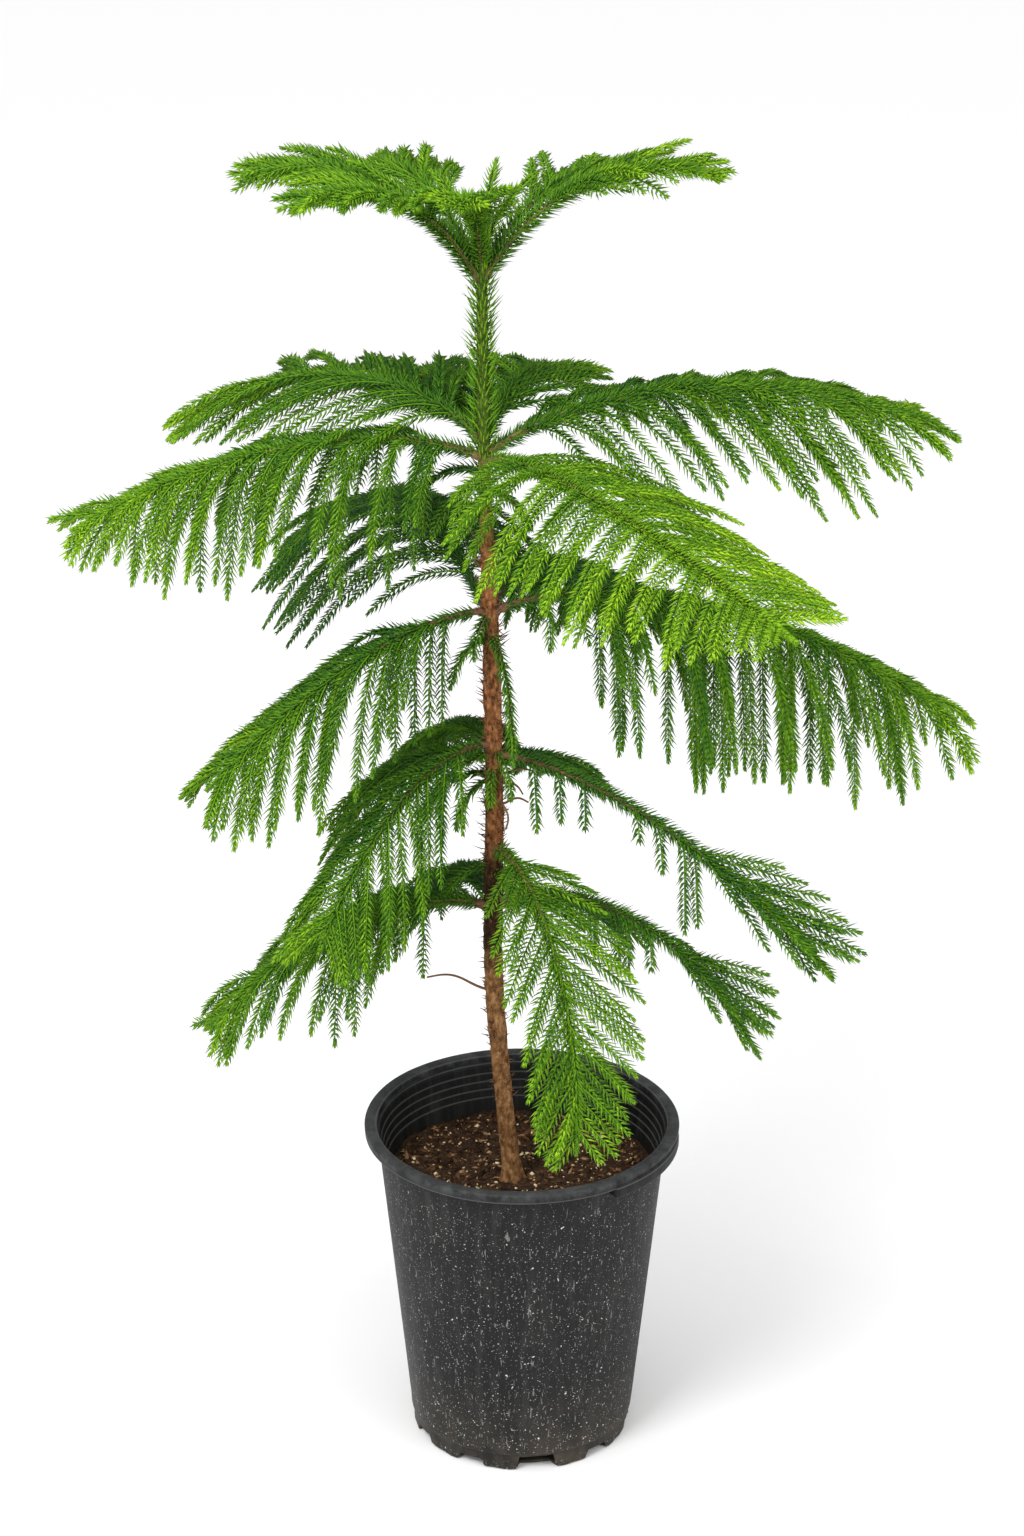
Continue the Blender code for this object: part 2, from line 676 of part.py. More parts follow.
def pot_profile():
    """Half section of the pot, from the middle of its underside up outside and down inside."""
    wall_top = POT_HEIGHT - RIM_HEIGHT
    slope = (WALL_TOP_RADIUS - WALL_FOOT_RADIUS) / (wall_top - SKIRT_HEIGHT)

    def wall(height):
        return WALL_FOOT_RADIUS + slope * (height - SKIRT_HEIGHT)

    outside = [
        (0.0, 0.0),
        (SKIRT_RADIUS, 0.0),
        (SKIRT_RADIUS, SKIRT_HEIGHT - POT_BEVEL),
        (WALL_FOOT_RADIUS, SKIRT_HEIGHT),
        (wall(wall_top), wall_top),
        (RIM_RADIUS, wall_top),
        (RIM_RADIUS, POT_HEIGHT - POT_BEVEL),
        (RIM_RADIUS - POT_BEVEL, POT_HEIGHT),
        (RIM_RADIUS - RIM_WIDTH, POT_HEIGHT),
    ]
    inside = []
    thickness = WALL_THICKNESS
    height = wall_top - UNDER_RIM
    inside.append((wall(height) - thickness, height))
    for _ in range(INNER_STEPS):
        height -= INNER_STEP_DROP
        inside.append((wall(height) - thickness, height))
        thickness += INNER_STEP_DEPTH
        inside.append((wall(height) - thickness, height - INNER_STEP_SLOPE))
    inside.append((WALL_FOOT_RADIUS - thickness, SKIRT_HEIGHT + SOIL_CLEARANCE))
    inside.append((SKIRT_RADIUS - WALL_THICKNESS - FLOOR_SLOPE, FLOOR_THICKNESS))
    inside.append((0.0, FLOOR_THICKNESS))
    return outside + inside, wall


def lathe(profile, sides):
    """Turns a half section round the Z axis; its first and last points are on the axis."""
    turn = np.linspace(0, 2 * math.pi, sides, endpoint=False)
    inner = np.array(profile[1:-1])
    rings = np.stack(
        (
            inner[:, None, 0] * np.cos(turn),
            inner[:, None, 0] * np.sin(turn),
            np.repeat(inner[:, 1:2], sides, axis=1),
        ),
        axis=2,
    )
    points, faces = close_rings(rings)
    points[-2] = np.array((0.0, 0.0, profile[0][1]))
    points[-1] = np.array((0.0, 0.0, profile[-1][1]))
    return points, faces


def grip(azimuth):
    """Curved finger grip under the rim, sunk into the rim's underside."""
    turn = np.radians(azimuth + np.linspace(-0.5, 0.5, GRIP_STEPS) * GRIP_SPREAD)
    ease = np.sqrt(np.sin(np.linspace(0.12, 0.88, GRIP_STEPS) * math.pi))
    outer = RIM_RADIUS + GRIP_REACH * ease
    inner = np.full(GRIP_STEPS, WALL_TOP_RADIUS - WALL_THICKNESS / 2)
    top = POT_HEIGHT - RIM_HEIGHT * 0.6
    low = POT_HEIGHT - RIM_HEIGHT - GRIP_THICKNESS
    rings = []
    for angle, far, near in zip(turn, outer, inner):
        level = np.array((math.cos(angle), math.sin(angle), 0.0))
        corners = ((far, top), (near, top), (near, low), (far, low))
        rings.append([radius * level + height * UP for radius, height in corners])
    return close_rings(np.array(rings))


def box(low, high):
    corners = [(x, y, z) for x in (low[0], high[0]) for y in (low[1], high[1]) for z in (low[2], high[2])]
    faces = [(0, 1, 3, 2), (4, 6, 7, 5), (0, 4, 5, 1), (2, 3, 7, 6), (0, 2, 6, 4), (1, 5, 7, 3)]
    return corners, faces


def make_pot(material):
    profile, _ = pot_profile()
    parts = [lathe(profile, POT_SIDES)] + [grip(azimuth) for azimuth in GRIP_AZIMUTHS]
    pot = fuse("pot", parts, material)
    for k in range(NOTCH_COUNT):
        turn = math.radians(NOTCH_FIRST_AZIMUTH + 360.0 * k / NOTCH_COUNT)
        wide = k % WIDE_NOTCH_EVERY == 0
        width = WIDE_NOTCH_WIDTH if wide else NOTCH_WIDTH
        height = WIDE_NOTCH_HEIGHT if wide else NOTCH_HEIGHT
        corners, faces = box(
            (SKIRT_RADIUS - NOTCH_DEPTH, -width / 2, -CUTTER_MARGIN),
            (SKIRT_RADIUS + CUTTER_MARGIN, width / 2, height),
        )
        cutter = mesh_object(f"notch{k}", corners, faces, material)
        cutter.rotation_euler.z = turn
        cutter.hide_render = True
        cutter.display_type = "WIRE"
        cut = pot.modifiers.new(f"notch{k}", "BOOLEAN")
        cut.operation = "DIFFERENCE"
        cut.object = cutter
        cut.solver = "EXACT"
    return pot


def make_soil(material):
    """Filling of the pot, clear of its wall, steps and notches, up to the soil's level surface."""
    _, wall = pot_profile()
    reach = WALL_THICKNESS + INNER_STEP_DEPTH * INNER_STEPS + SOIL_CLEARANCE
    foot = FLOOR_THICKNESS + GAP
    by_notch = SKIRT_RADIUS - NOTCH_DEPTH - SOIL_CLEAR_OF_NOTCH
    profile = [
        (0.0, foot),
        (by_notch, foot),
        (by_notch, WIDE_NOTCH_HEIGHT + SOIL_ABOVE_NOTCH),
        (WALL_FOOT_RADIUS - reach - SOIL_CLEARANCE, SKIRT_HEIGHT + SOIL_ABOVE_SKIRT),
        (wall(SOIL_TOP) - reach, SOIL_TOP),
        (0.0, SOIL_TOP),
    ]
    return mesh_object("soil", *lathe(profile, SOIL_SIDES), material)


def main():
    clear_scene()
    bark = make_material("bark", (0.16, 0.085, 0.045), 0.85)
    green = make_material("needles", (0.07, 0.22, 0.03), 0.55)
    plastic = make_material("pot plastic", (0.022, 0.024, 0.026), 0.5)
    earth = make_material("potting soil", (0.045, 0.026, 0.016), 0.95)

    make_pot(plastic)
    make_soil(earth)
    make_trunk(bark)

    boughs = {name: Bough(dict(zip(COLUMNS, values))) for name, values in BOUGHS.items()}
    space = Space()
    for name, bough in boughs.items():
        space.add(bough.points_along(), name)
    twig = Bough(HANGING_TWIG)
    space.add(twig.points_along(), "hanging_twig")
    round_trunk = CLEAR_OF_GREEN_TRUNK * level_ring(SLEEVE_SIDES)
    for height in np.arange(SLEEVE_FOOT - NEEDLE_LENGTH / 2, SLEEVE_TOP + NEEDLE_LENGTH, SPACE_STEP):
        space.add(trunk_at(height) + round_trunk, "trunk_needles")
    space.settle()

    make_sleeve(green)
    make_tuft(green)
    make_hanging_twig(twig, space, green)
    for name, bough in boughs.items():
        if bough.row["bare"] > 0.0:
            make_bough(name, bough, bark)
        make_foliage(name, bough, space, green)
        space.settle()


main()
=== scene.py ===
import math

import bpy
import numpy as np
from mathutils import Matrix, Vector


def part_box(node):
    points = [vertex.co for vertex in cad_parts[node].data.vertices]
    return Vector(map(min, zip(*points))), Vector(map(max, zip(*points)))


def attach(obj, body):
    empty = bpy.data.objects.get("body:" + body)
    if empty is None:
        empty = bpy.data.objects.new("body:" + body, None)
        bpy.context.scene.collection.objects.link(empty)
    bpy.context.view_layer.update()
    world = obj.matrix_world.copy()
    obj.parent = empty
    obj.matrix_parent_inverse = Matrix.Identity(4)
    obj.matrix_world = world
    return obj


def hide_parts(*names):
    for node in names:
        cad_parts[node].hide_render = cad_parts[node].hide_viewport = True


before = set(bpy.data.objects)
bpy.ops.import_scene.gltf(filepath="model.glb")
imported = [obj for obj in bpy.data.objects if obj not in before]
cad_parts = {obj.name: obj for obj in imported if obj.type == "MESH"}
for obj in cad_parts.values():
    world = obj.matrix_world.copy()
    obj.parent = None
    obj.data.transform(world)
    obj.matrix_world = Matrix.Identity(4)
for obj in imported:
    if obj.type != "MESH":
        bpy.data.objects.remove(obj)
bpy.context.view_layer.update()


# Pot
# A blow-moulded nursery pot of black polyethylene, dusty and scuffed, with a rolled rim, two finger
# grips under it and drain notches round its foot. It is one moulding, so it is one piece here.

def add_object(name, data):
    obj = bpy.data.objects.new(name, data)
    bpy.context.scene.collection.objects.link(obj)
    return obj


def put_mesh(name, points, face_sets, materials, face_materials=None, smooth=True):
    """A mesh object from whole arrays: points (n, 3), and arrays of faces with one size each."""
    mesh = bpy.data.meshes.new(name)
    mesh.vertices.add(len(points))
    mesh.vertices.foreach_set("co", np.ascontiguousarray(points, np.float32).ravel())
    corners = np.concatenate([faces.ravel() for faces in face_sets])
    sizes = np.concatenate([np.full(len(faces), faces.shape[1]) for faces in face_sets])
    mesh.loops.add(len(corners))
    mesh.loops.foreach_set("vertex_index", corners.astype(np.int32))
    mesh.polygons.add(len(sizes))
    mesh.polygons.foreach_set("loop_start", (np.cumsum(sizes) - sizes).astype(np.int32))
    for material in materials:
        mesh.materials.append(material)
    if face_materials is not None:
        mesh.polygons.foreach_set("material_index", face_materials.astype(np.int32))
    mesh.update(calc_edges=True)
    if smooth:
        mesh.shade_smooth()
    return add_object(name, mesh)


def even_turns(sides):
    return np.linspace(0, 2 * math.pi, sides, endpoint=False)


def tube_sides(count, sides, joined=False):
    """Quads between each ring of a tube and the next and, where joined, from the last to the first."""
    ring = np.arange(count if joined else count - 1)[:, None] * sides
    above = (ring + sides) % (count * sides)
    k = np.arange(sides)[None]
    after = (k + 1) % sides
    return np.stack((ring + k, ring + after, above + after, above + k), axis=2).reshape(-1, 4)


def skin(rings, joined=False):
    """A tube of rings (count, sides) as points and arrays of faces: its sides and, unless it is
    joined to itself, a fan at each end."""
    count, sides = rings.shape[:2]
    points, quads = rings.reshape(-1, 3), tube_sides(count, sides, joined)
    if joined:
        return points, [quads]
    points = np.vstack((points, rings[0].mean(axis=0), rings[-1].mean(axis=0)))
    k = np.arange(sides)
    after = (k + 1) % sides
    last = (count - 1) * sides
    foot = np.stack((np.full(sides, count * sides), after, k), axis=1)
    top = np.stack((np.full(sides, count * sides + 1), last + k, last + after), axis=1)
    return points, [quads, np.vstack((foot, top))]


def join_shapes(shapes):
    """Several (points, face arrays) made into one."""
    points, faces, start = [], [], 0
    for shape_points, shape_faces in shapes:
        points.append(shape_points)
        faces += [part + start for part in shape_faces]
        start += len(shape_points)
    return np.vstack(points), faces


def turned(radius, height, turn):
    """Ring points (rows, turns, 3) of a half section turned round Z; radius and height may vary."""
    radius, height, turn = np.broadcast_arrays(radius, height, turn)
    return np.stack((radius * np.cos(turn), radius * np.sin(turn), height), axis=-1)


def rounded(corners, radius, steps=4):
    """An outline whose inner corners are rounded: each is a parabola between two points that lie a
    radius, or less on a short side, before and after it."""
    corners = np.asarray(corners, float)
    out = [corners[0]]
    for before, corner, after in zip(corners[:-2], corners[1:-1], corners[2:]):
        back, ahead = before - corner, after - corner
        reach = min(radius, 0.45 * np.linalg.norm(back), 0.45 * np.linalg.norm(ahead))
        first = corner + reach * back / np.linalg.norm(back)
        last = corner + reach * ahead / np.linalg.norm(ahead)
        for t in np.linspace(0.0, 1.0, steps):
            out.append((1 - t) ** 2 * first + 2 * t * (1 - t) * corner + t**2 * last)
    out.append(corners[-1])
    return np.array(out)


def spaced(outline, gap):
    """The outline with points added so that no step is longer than gap."""
    pieces = []
    for a, b in zip(outline[:-1], outline[1:]):
        count = max(1, int(np.ceil(np.linalg.norm(b - a) / gap)))
        pieces.append(a + (b - a) * np.linspace(0, 1, count, endpoint=False)[:, None])
    return np.vstack(pieces + [outline[-1:]])


POT_HEIGHT = 0.3026
RIM_RADIUS = 0.140
RIM_WIDTH = 0.0110
RIM_HEIGHT = 0.0090
WALL_TOP_RADIUS = 0.1285
WALL_FOOT_RADIUS = 0.1002
SKIRT_RADIUS = 0.0980
SKIRT_HEIGHT = 0.0170
WALL_THICKNESS = 0.0022
FLOOR_THICKNESS = 0.0030
INNER_STEPS = 4
INNER_STEP_DROP = 0.0068
INNER_STEP_DEPTH = 0.0008
INNER_LEDGE_DROP = 0.0006
NOTCH_COUNT = 10
NOTCH_WIDTH = 0.024
NOTCH_HEIGHT = 0.0070
WIDE_NOTCH_EVERY = 5
WIDE_NOTCH_WIDTH = 0.034
WIDE_NOTCH_HEIGHT = 0.0130
NOTCH_DEPTH = 0.011
NOTCH_SLOPE = 0.010
NOTCH_FIRST_AZIMUTH = -82.0
GRIP_AZIMUTHS = (-30.0, 150.0)
GRIP_SPREAD = 48.0
GRIP_REACH = 0.0015
GRIP_THICKNESS = 0.0080
# Section of a grip: share of its reach, share of its height
GRIP_SECTION = (
    (1, 0.8), (0.985, 0.9), (0.9, 1), (0, 1), (0, 0.05), (0.6, 0.05), (0.97, 0.0), (1, 0.12))
BEVEL = 0.0014
SECTION_GAP = 0.006
POT_SIDES = 360
EDGE_WIDTH = 0.0016
PLASTIC_BLACK = (0.0065, 0.0068, 0.0070)
WALL_TOP = POT_HEIGHT - RIM_HEIGHT
FIRST_STEP_TOP = WALL_TOP - 0.0010
WALL_SLOPE = (WALL_TOP_RADIUS - WALL_FOOT_RADIUS) / (WALL_TOP - SKIRT_HEIGHT)


def wall_radius(height):
    return WALL_FOOT_RADIUS + WALL_SLOPE * (height - SKIRT_HEIGHT)


def notch_share(turn):
    """1 inside a drain notch and 0 between notches, with a short slope at each side, and the height
    of the nearest notch."""
    pitch = 2 * math.pi / NOTCH_COUNT
    place = (turn - math.radians(NOTCH_FIRST_AZIMUTH)) / pitch
    wide = np.round(place) % WIDE_NOTCH_EVERY == 0
    half = np.where(wide, WIDE_NOTCH_WIDTH, NOTCH_WIDTH) / 2 / SKIRT_RADIUS
    share = np.clip((half - np.abs(place - np.round(place)) * pitch) / NOTCH_SLOPE + 0.5, 0.0, 1.0)
    return share, np.where(wide, WIDE_NOTCH_HEIGHT, NOTCH_HEIGHT)


def pot_wall(turn):
    """Closed section carried round Z: up the outside, over the rim and down the inside. Its foot is
    lifted over each drain notch, and the wall wanders by less than half a millimetre."""
    outside = [
        (SKIRT_RADIUS - WALL_THICKNESS / 2, 0.0),
        (SKIRT_RADIUS, 0.0),
        (SKIRT_RADIUS + 0.0002, SKIRT_HEIGHT - 0.0014),
        (WALL_FOOT_RADIUS, SKIRT_HEIGHT),
        (wall_radius(WALL_TOP - 0.004), WALL_TOP - 0.004),
        (wall_radius(WALL_TOP) + 0.0015, WALL_TOP),
        (RIM_RADIUS - 0.0006, WALL_TOP),
        (RIM_RADIUS, POT_HEIGHT - 0.0004),
        (RIM_RADIUS - 0.0035, POT_HEIGHT),
        (RIM_RADIUS - RIM_WIDTH, POT_HEIGHT - 0.0008),
    ]
    height = FIRST_STEP_TOP
    inset = WALL_THICKNESS
    inside = [(wall_radius(height) - inset + 0.0016, height + 0.0022)]
    for _ in range(INNER_STEPS):
        inside.append((wall_radius(height) - inset, height))
        height -= INNER_STEP_DROP
        inside.append((wall_radius(height) - inset, height))
        inset += INNER_STEP_DEPTH
        height -= INNER_LEDGE_DROP
    inside.append((wall_radius(height) - inset, height))
    inside.append((WALL_FOOT_RADIUS - WALL_THICKNESS, SKIRT_HEIGHT + 0.0010))
    inside.append((SKIRT_RADIUS - WALL_THICKNESS - 0.0006, SKIRT_HEIGHT - 0.0030))
    inside.append((SKIRT_RADIUS - WALL_THICKNESS - 0.0006, 0.0))
    outline = rounded(outside + inside, BEVEL)
    outline = spaced(np.vstack((outline, outline[:1])), SECTION_GAP)[:-1]
    radius, height = outline[:, 0, None], outline[:, 1, None]
    share, notch_height = notch_share(turn)
    lift = (notch_height * share)[None]
    low = np.clip(1.0 - height / (notch_height * 1.25)[None], 0.0, 1.0)
    wander = 0.00025 * np.sin(3 * turn + 1.0) + 0.0002 * np.sin(7 * turn + 9 * height)
    foot_wear = 0.0009 * low**2 * (1 + np.sin(23 * turn) * np.sin(11 * turn + 2))
    height = height + lift * low + foot_wear * (height < 0.004)
    return turned(radius + wander * (height > 0.02), height, turn[None])


def pot_floor(turn):
    """Disc between the walls, drawn in at each drain notch."""
    edge = SKIRT_RADIUS - WALL_THICKNESS - (NOTCH_DEPTH - WALL_THICKNESS) * notch_share(turn)[0]
    share = np.array((0.02, 0.5, 0.97, 1.0, 1.0, 0.97, 0.5, 0.02))[:, None]
    height = np.array((0, 0, 0, 0.0006, FLOOR_THICKNESS - 0.0006, *[FLOOR_THICKNESS] * 3))[:, None]
    return turned(edge[None] * share, height, turn[None])


def finger_grip(azimuth):
    """Curved ledge under the rim: its outer edge swells out by the root of a sine."""
    place = np.linspace(0.0, 1.0, 33)
    turn = np.radians(azimuth + (place - 0.5) * GRIP_SPREAD)
    ease = np.sqrt(np.sin((0.10 + 0.80 * place) * math.pi))
    outer = RIM_RADIUS - 0.0005 + GRIP_REACH * ease
    inner = WALL_TOP_RADIUS - WALL_THICKNESS / 2
    top, low = POT_HEIGHT - RIM_HEIGHT * 0.6, WALL_TOP - GRIP_THICKNESS
    reach, rise = np.array(GRIP_SECTION).T[:, None]
    return turned(inner + (outer[:, None] - inner) * reach, low + (top - low) * rise, turn[:, None])


def new_material(name, roughness, specular):
    """A material, its node tree and its shader."""
    material = bpy.data.materials.new(name)
    material.use_nodes = True
    tree = material.node_tree
    shader = tree.nodes["Principled BSDF"]
    shader.inputs["Roughness"].default_value = roughness
    shader.inputs["Specular IOR Level"].default_value = specular
    return material, tree, shader


def add_node(tree, kind, output, inputs, **settings):
    """Adds a node, links each input to a socket or sets it to a value, and returns one output."""
    node = tree.nodes.new("ShaderNode" + kind)
    for setting, value in settings.items():
        setattr(node, setting, value)
    for place, value in inputs.items():
        if isinstance(value, bpy.types.NodeSocket):
            tree.links.new(value, node.inputs[place])
        else:
            node.inputs[place].default_value = value
    return node.outputs[output]


def object_place(tree):
    """Place in the object's own coordinates, and its height alone."""
    place = add_node(tree, "TexCoord", "Object", {})
    return place, add_node(tree, "SeparateXYZ", "Z", {"Vector": place})


def noise(tree, place, scale, detail, roughness, stretch=1.0):
    """Noise texture, drawn out along Z where the stretch is under 1."""
    if stretch != 1.0:
        place = add_node(tree, "Mapping", "Vector", {"Scale": (1.0, 1.0, stretch), "Vector": place})
    inputs = {"Scale": scale, "Detail": detail, "Roughness": roughness, "Vector": place}
    return add_node(tree, "TexNoise", "Fac", inputs)


def ramp(tree, value, stops):
    """Colour ramp from (place, colour) stops; a colour may be one number."""
    node = tree.nodes.new("ShaderNodeValToRGB")
    tree.links.new(value, node.inputs["Fac"])
    band = node.color_ramp
    while len(band.elements) < len(stops):
        band.elements.new(0.5)
    for element, (place, colour) in zip(band.elements, stops):
        element.position = place
        colour = (colour,) * 3 if isinstance(colour, (int, float)) else colour
        element.color = (*colour, 1.0)
    return node.outputs["Color"]


def patches(tree, place, scale, detail, roughness, low, high, stretch=1.0, least=0.0):
    """A share that rises from least to 1 as noise rises from low to high."""
    value = noise(tree, place, scale, detail, roughness, stretch)
    return ramp(tree, value, [(low, least), (high, 1.0)])


def mix_colour(tree, share, under, over):
    """Blend of two colours or colour sockets by a share socket."""
    under, over = ((*value, 1.0) if isinstance(value, tuple) else value for value in (under, over))
    return add_node(tree, "Mix", 2, {0: share, 6: under, 7: over}, data_type="RGBA")


def rescale(tree, value, low, high):
    """Value taken from low..high to 0..1, clamped."""
    return add_node(tree, "MapRange", "Result", {"From Min": low, "From Max": high, "Value": value})


def multiply(tree, first, second):
    return add_node(tree, "Math", "Value", {0: first, 1: second}, operation="MULTIPLY")


def flat_radius(tree, place):
    """Distance from the Z axis."""
    level = add_node(tree, "VectorMath", "Vector", {0: place, 1: (1.0, 1.0, 0.0)}, operation="MULTIPLY")
    return add_node(tree, "VectorMath", "Value", {0: level}, operation="LENGTH")


def wall_sides(tree, radius, height):
    """Two shares: 1 on the outer wall below the rim, and 1 on the inner wall. They part where the
    radius, less the wall's slope times the height, passes between the wall's two faces."""
    inputs = {0: height, 1: -WALL_SLOPE, 2: radius}
    level = add_node(tree, "Math", "Value", inputs, operation="MULTIPLY_ADD")
    near_outer = wall_radius(0.0) - 0.0008
    near_inner = wall_radius(0.0) - 0.0014
    below_rim = rescale(tree, height, WALL_TOP - 0.003, WALL_TOP - 0.030)
    outer = multiply(tree, rescale(tree, level, near_inner, near_outer), below_rim)
    return outer, rescale(tree, level, near_outer, near_inner)


def thin_lines(tree, value, places, width):
    """1 near each place along the value, 0 from half a width away from it."""
    low = min(places) - 2 * width
    high = max(places) + 2 * width
    stops = [(0.0, 0.0)]
    for place in sorted(places):
        for offset, level in ((-0.5, 0.0), (-0.2, 1.0), (0.2, 1.0), (0.5, 0.0)):
            stops.append(((place + offset * width - low) / (high - low), level))
    return ramp(tree, rescale(tree, value, low, high), stops)


def finish_off(tree, shader, colour, bump, strength, distance):
    """Gives the shader its colour, and a bump of this strength and distance."""
    inputs = {"Strength": strength, "Distance": distance, "Height": bump}
    tree.links.new(add_node(tree, "Bump", "Normal", inputs), shader.inputs["Normal"])
    tree.links.new(colour, shader.inputs["Base Color"])


def pot_plastic():
    """Black plastic with a grey dust film in streaks, fine pale specks on the outer wall, a scuffed
    rim, painted highlights as pale lines along its edges and brown dust of soil low on the wall."""
    material, tree, shader = new_material("dusty black polyethylene", 0.50, 0.16)
    place, height = object_place(tree)
    radius = flat_radius(tree, place)
    outer, inner = wall_sides(tree, radius, height)

    # Painted highlights as pale lines on the edges: the inner steps, the underside of the rim, the top
    # of the rim and its inner lip
    step_pitch = INNER_STEP_DROP + INNER_LEDGE_DROP
    step_edges = [FIRST_STEP_TOP - INNER_STEP_DROP - step * step_pitch for step in range(INNER_STEPS)]
    step_highlights = multiply(tree, thin_lines(tree, height, step_edges, EDGE_WIDTH), inner)
    lip_highlight = thin_lines(tree, height, [WALL_TOP + 0.0010], EDGE_WIDTH)
    crest_highlight = rescale(tree, height, POT_HEIGHT - 0.00096, POT_HEIGHT - 0.00024)
    mouth_radius = RIM_RADIUS - RIM_WIDTH
    mouth = rescale(tree, radius, mouth_radius + 0.0018, mouth_radius + 0.0004)
    mouth_highlight = multiply(tree, mouth, rescale(tree, height, POT_HEIGHT - 0.0022, POT_HEIGHT - 0.0012))

    # Dust, specks and scratches
    film = patches(tree, place, 14.0, 6.0, 0.65, 0.35, 0.75, 0.22)
    streaks = patches(tree, place, 150.0, 3.0, 0.6, 0.48, 0.72, 0.06)
    specks = patches(tree, place, 760.0, 1.0, 0.5, 0.700, 0.725)
    coarse = patches(tree, place, 420.0, 1.0, 0.5, 0.735, 0.750)
    scratches = patches(tree, place, 520.0, 1.0, 0.5, 0.70, 0.73, 0.14)
    splash = patches(tree, place, 26.0, 6.0, 0.7, 0.40, 0.70, least=0.15)
    low = ramp(tree, rescale(tree, height, 0.0, 0.09), [(0.0, 1.0), (0.35, 0.45), (1.0, 0.0)])
    rim = rescale(tree, height, POT_HEIGHT - 0.0096, POT_HEIGHT - 0.0012)
    scuff = patches(tree, place, 60.0, 8.0, 0.7, 0.42, 0.70)

    # Each layer over those before it: where it lies, how strong it is and its colour
    colour = PLASTIC_BLACK
    for marks, strength, tone in (
        (film, 0.55, (0.021, 0.0215, 0.021)),
        (streaks, 0.30, (0.055, 0.055, 0.052)),
        (multiply(tree, splash, low), 0.75, (0.095, 0.074, 0.052)),
        (multiply(tree, scuff, rim), 0.60, (0.130, 0.134, 0.138)),
        # The next four layers are painted highlights: the top of the rim, the inner steps, the rim's
        # underside and its inner lip
        (crest_highlight, 0.40, (0.075, 0.077, 0.080)),
        (step_highlights, 0.62, (0.085, 0.086, 0.085)),
        (lip_highlight, 0.55, (0.110, 0.110, 0.108)),
        (mouth_highlight, 0.60, (0.130, 0.132, 0.134)),
        (multiply(tree, specks, outer), 0.85, (0.42, 0.42, 0.40)),
        (multiply(tree, scratches, outer), 0.45, (0.30, 0.30, 0.29)),
        (multiply(tree, coarse, outer), 0.90, (0.66, 0.65, 0.62)),
    ):
        colour = mix_colour(tree, multiply(tree, marks, strength), colour, tone)
    tree.links.new(ramp(tree, film, [(0.0, 0.46), (1.0, 0.68)]), shader.inputs["Roughness"])
    finish_off(tree, shader, colour, noise(tree, place, 300.0, 5.0, 0.6), 0.25, 0.0006)
    return material


pot_turn = even_turns(POT_SIDES)
plastic = pot_plastic()
shapes = [skin(pot_wall(pot_turn)[::-1], joined=True), skin(pot_floor(pot_turn)[::-1])]
shapes += [skin(finger_grip(azimuth)) for azimuth in GRIP_AZIMUTHS]
pot = put_mesh("pot_shell", *join_shapes(shapes), [plastic])
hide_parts("pot")
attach(pot, "root")


# Soil
# Peat and fine bark, packed down unevenly and a little higher against the trunk. Splinters of bark
# and crumbs of white perlite lie in its surface.

SOIL_TOP = 0.2540
SOIL_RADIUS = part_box("soil")[1][0]
SOIL_RINGS = 150
SOIL_SIDES = 300
SOIL_SKIRT = 0.02
TRUNK_FOOT = np.array((-0.0080, -0.0200))
CLEAR_OF_TRUNK = 0.014
LATTICE = 64


def value_noise(x, y, cell, seed):
    """Smooth noise from random heights on a square lattice, blended by a cubic between its corners."""
    heights = np.random.default_rng(seed).uniform(-1.0, 1.0, (LATTICE, LATTICE))
    x, y = x / cell + 21.3, y / cell + 17.7
    column, row = np.floor(x).astype(int), np.floor(y).astype(int)
    across, up = x - column, y - row
    across, up = across**2 * (3 - 2 * across), up**2 * (3 - 2 * up)

    def corner(i, j):
        return heights[(row + j) % LATTICE, (column + i) % LATTICE]

    near = corner(0, 0) * (1 - across) + corner(1, 0) * across
    far = corner(0, 1) * (1 - across) + corner(1, 1) * across
    return near * (1 - up) + far * up


def soil_height(x, y):
    """Four sizes of lumps, a mound round the trunk and a dip towards the wall."""
    lumps = 0.0024 * value_noise(x, y, 0.030, 1) + 0.0016 * value_noise(x, y, 0.010, 2)
    lumps += 0.0011 * value_noise(x, y, 0.0042, 3) + 0.0006 * value_noise(x, y, 0.0018, 4)
    from_trunk = np.hypot(x - TRUNK_FOOT[0], y - TRUNK_FOOT[1])
    from_middle = np.hypot(x, y) / SOIL_RADIUS
    return SOIL_TOP - 0.0015 + lumps + 0.003 * np.exp(-from_trunk / 0.02) - 0.003 * from_middle**6


def grained(name, roughness, specular, grain, bands, bump, strength, distance, along=False):
    """Grain and bump are noises (scale, detail, roughness, stretch). The grain is coloured by a ramp
    for each band (start, end, stops), and each band takes over from the one before it from its start
    to its end: a height, or a distance kept as the attribute along."""
    material, tree, shader = new_material(name, roughness, specular)
    place, level = object_place(tree)
    if along:
        level = add_node(tree, "Attribute", "Fac", {}, attribute_name="along")
    grain = noise(tree, place, *grain)
    colour = ramp(tree, grain, bands[0][2])
    for start, end, stops in bands[1:]:
        colour = mix_colour(tree, rescale(tree, level, start, end), colour, ramp(tree, grain, stops))
    finish_off(tree, shader, colour, noise(tree, place, *bump), strength, distance)
    return material


# Dark brown crumbs, from near black to chestnut
SOIL_TONES = (
    (0.30, (0.012, 0.007, 0.004)), (0.52, (0.050, 0.026, 0.014)), (0.74, (0.13, 0.072, 0.040)))
soil_mix = grained("peat and bark", 0.95, 0.15, (260.0, 6.0, 0.7), [(0.0, 0.0, SOIL_TONES)],
                   (420.0, 6.0, 0.7), 0.9, 0.002)
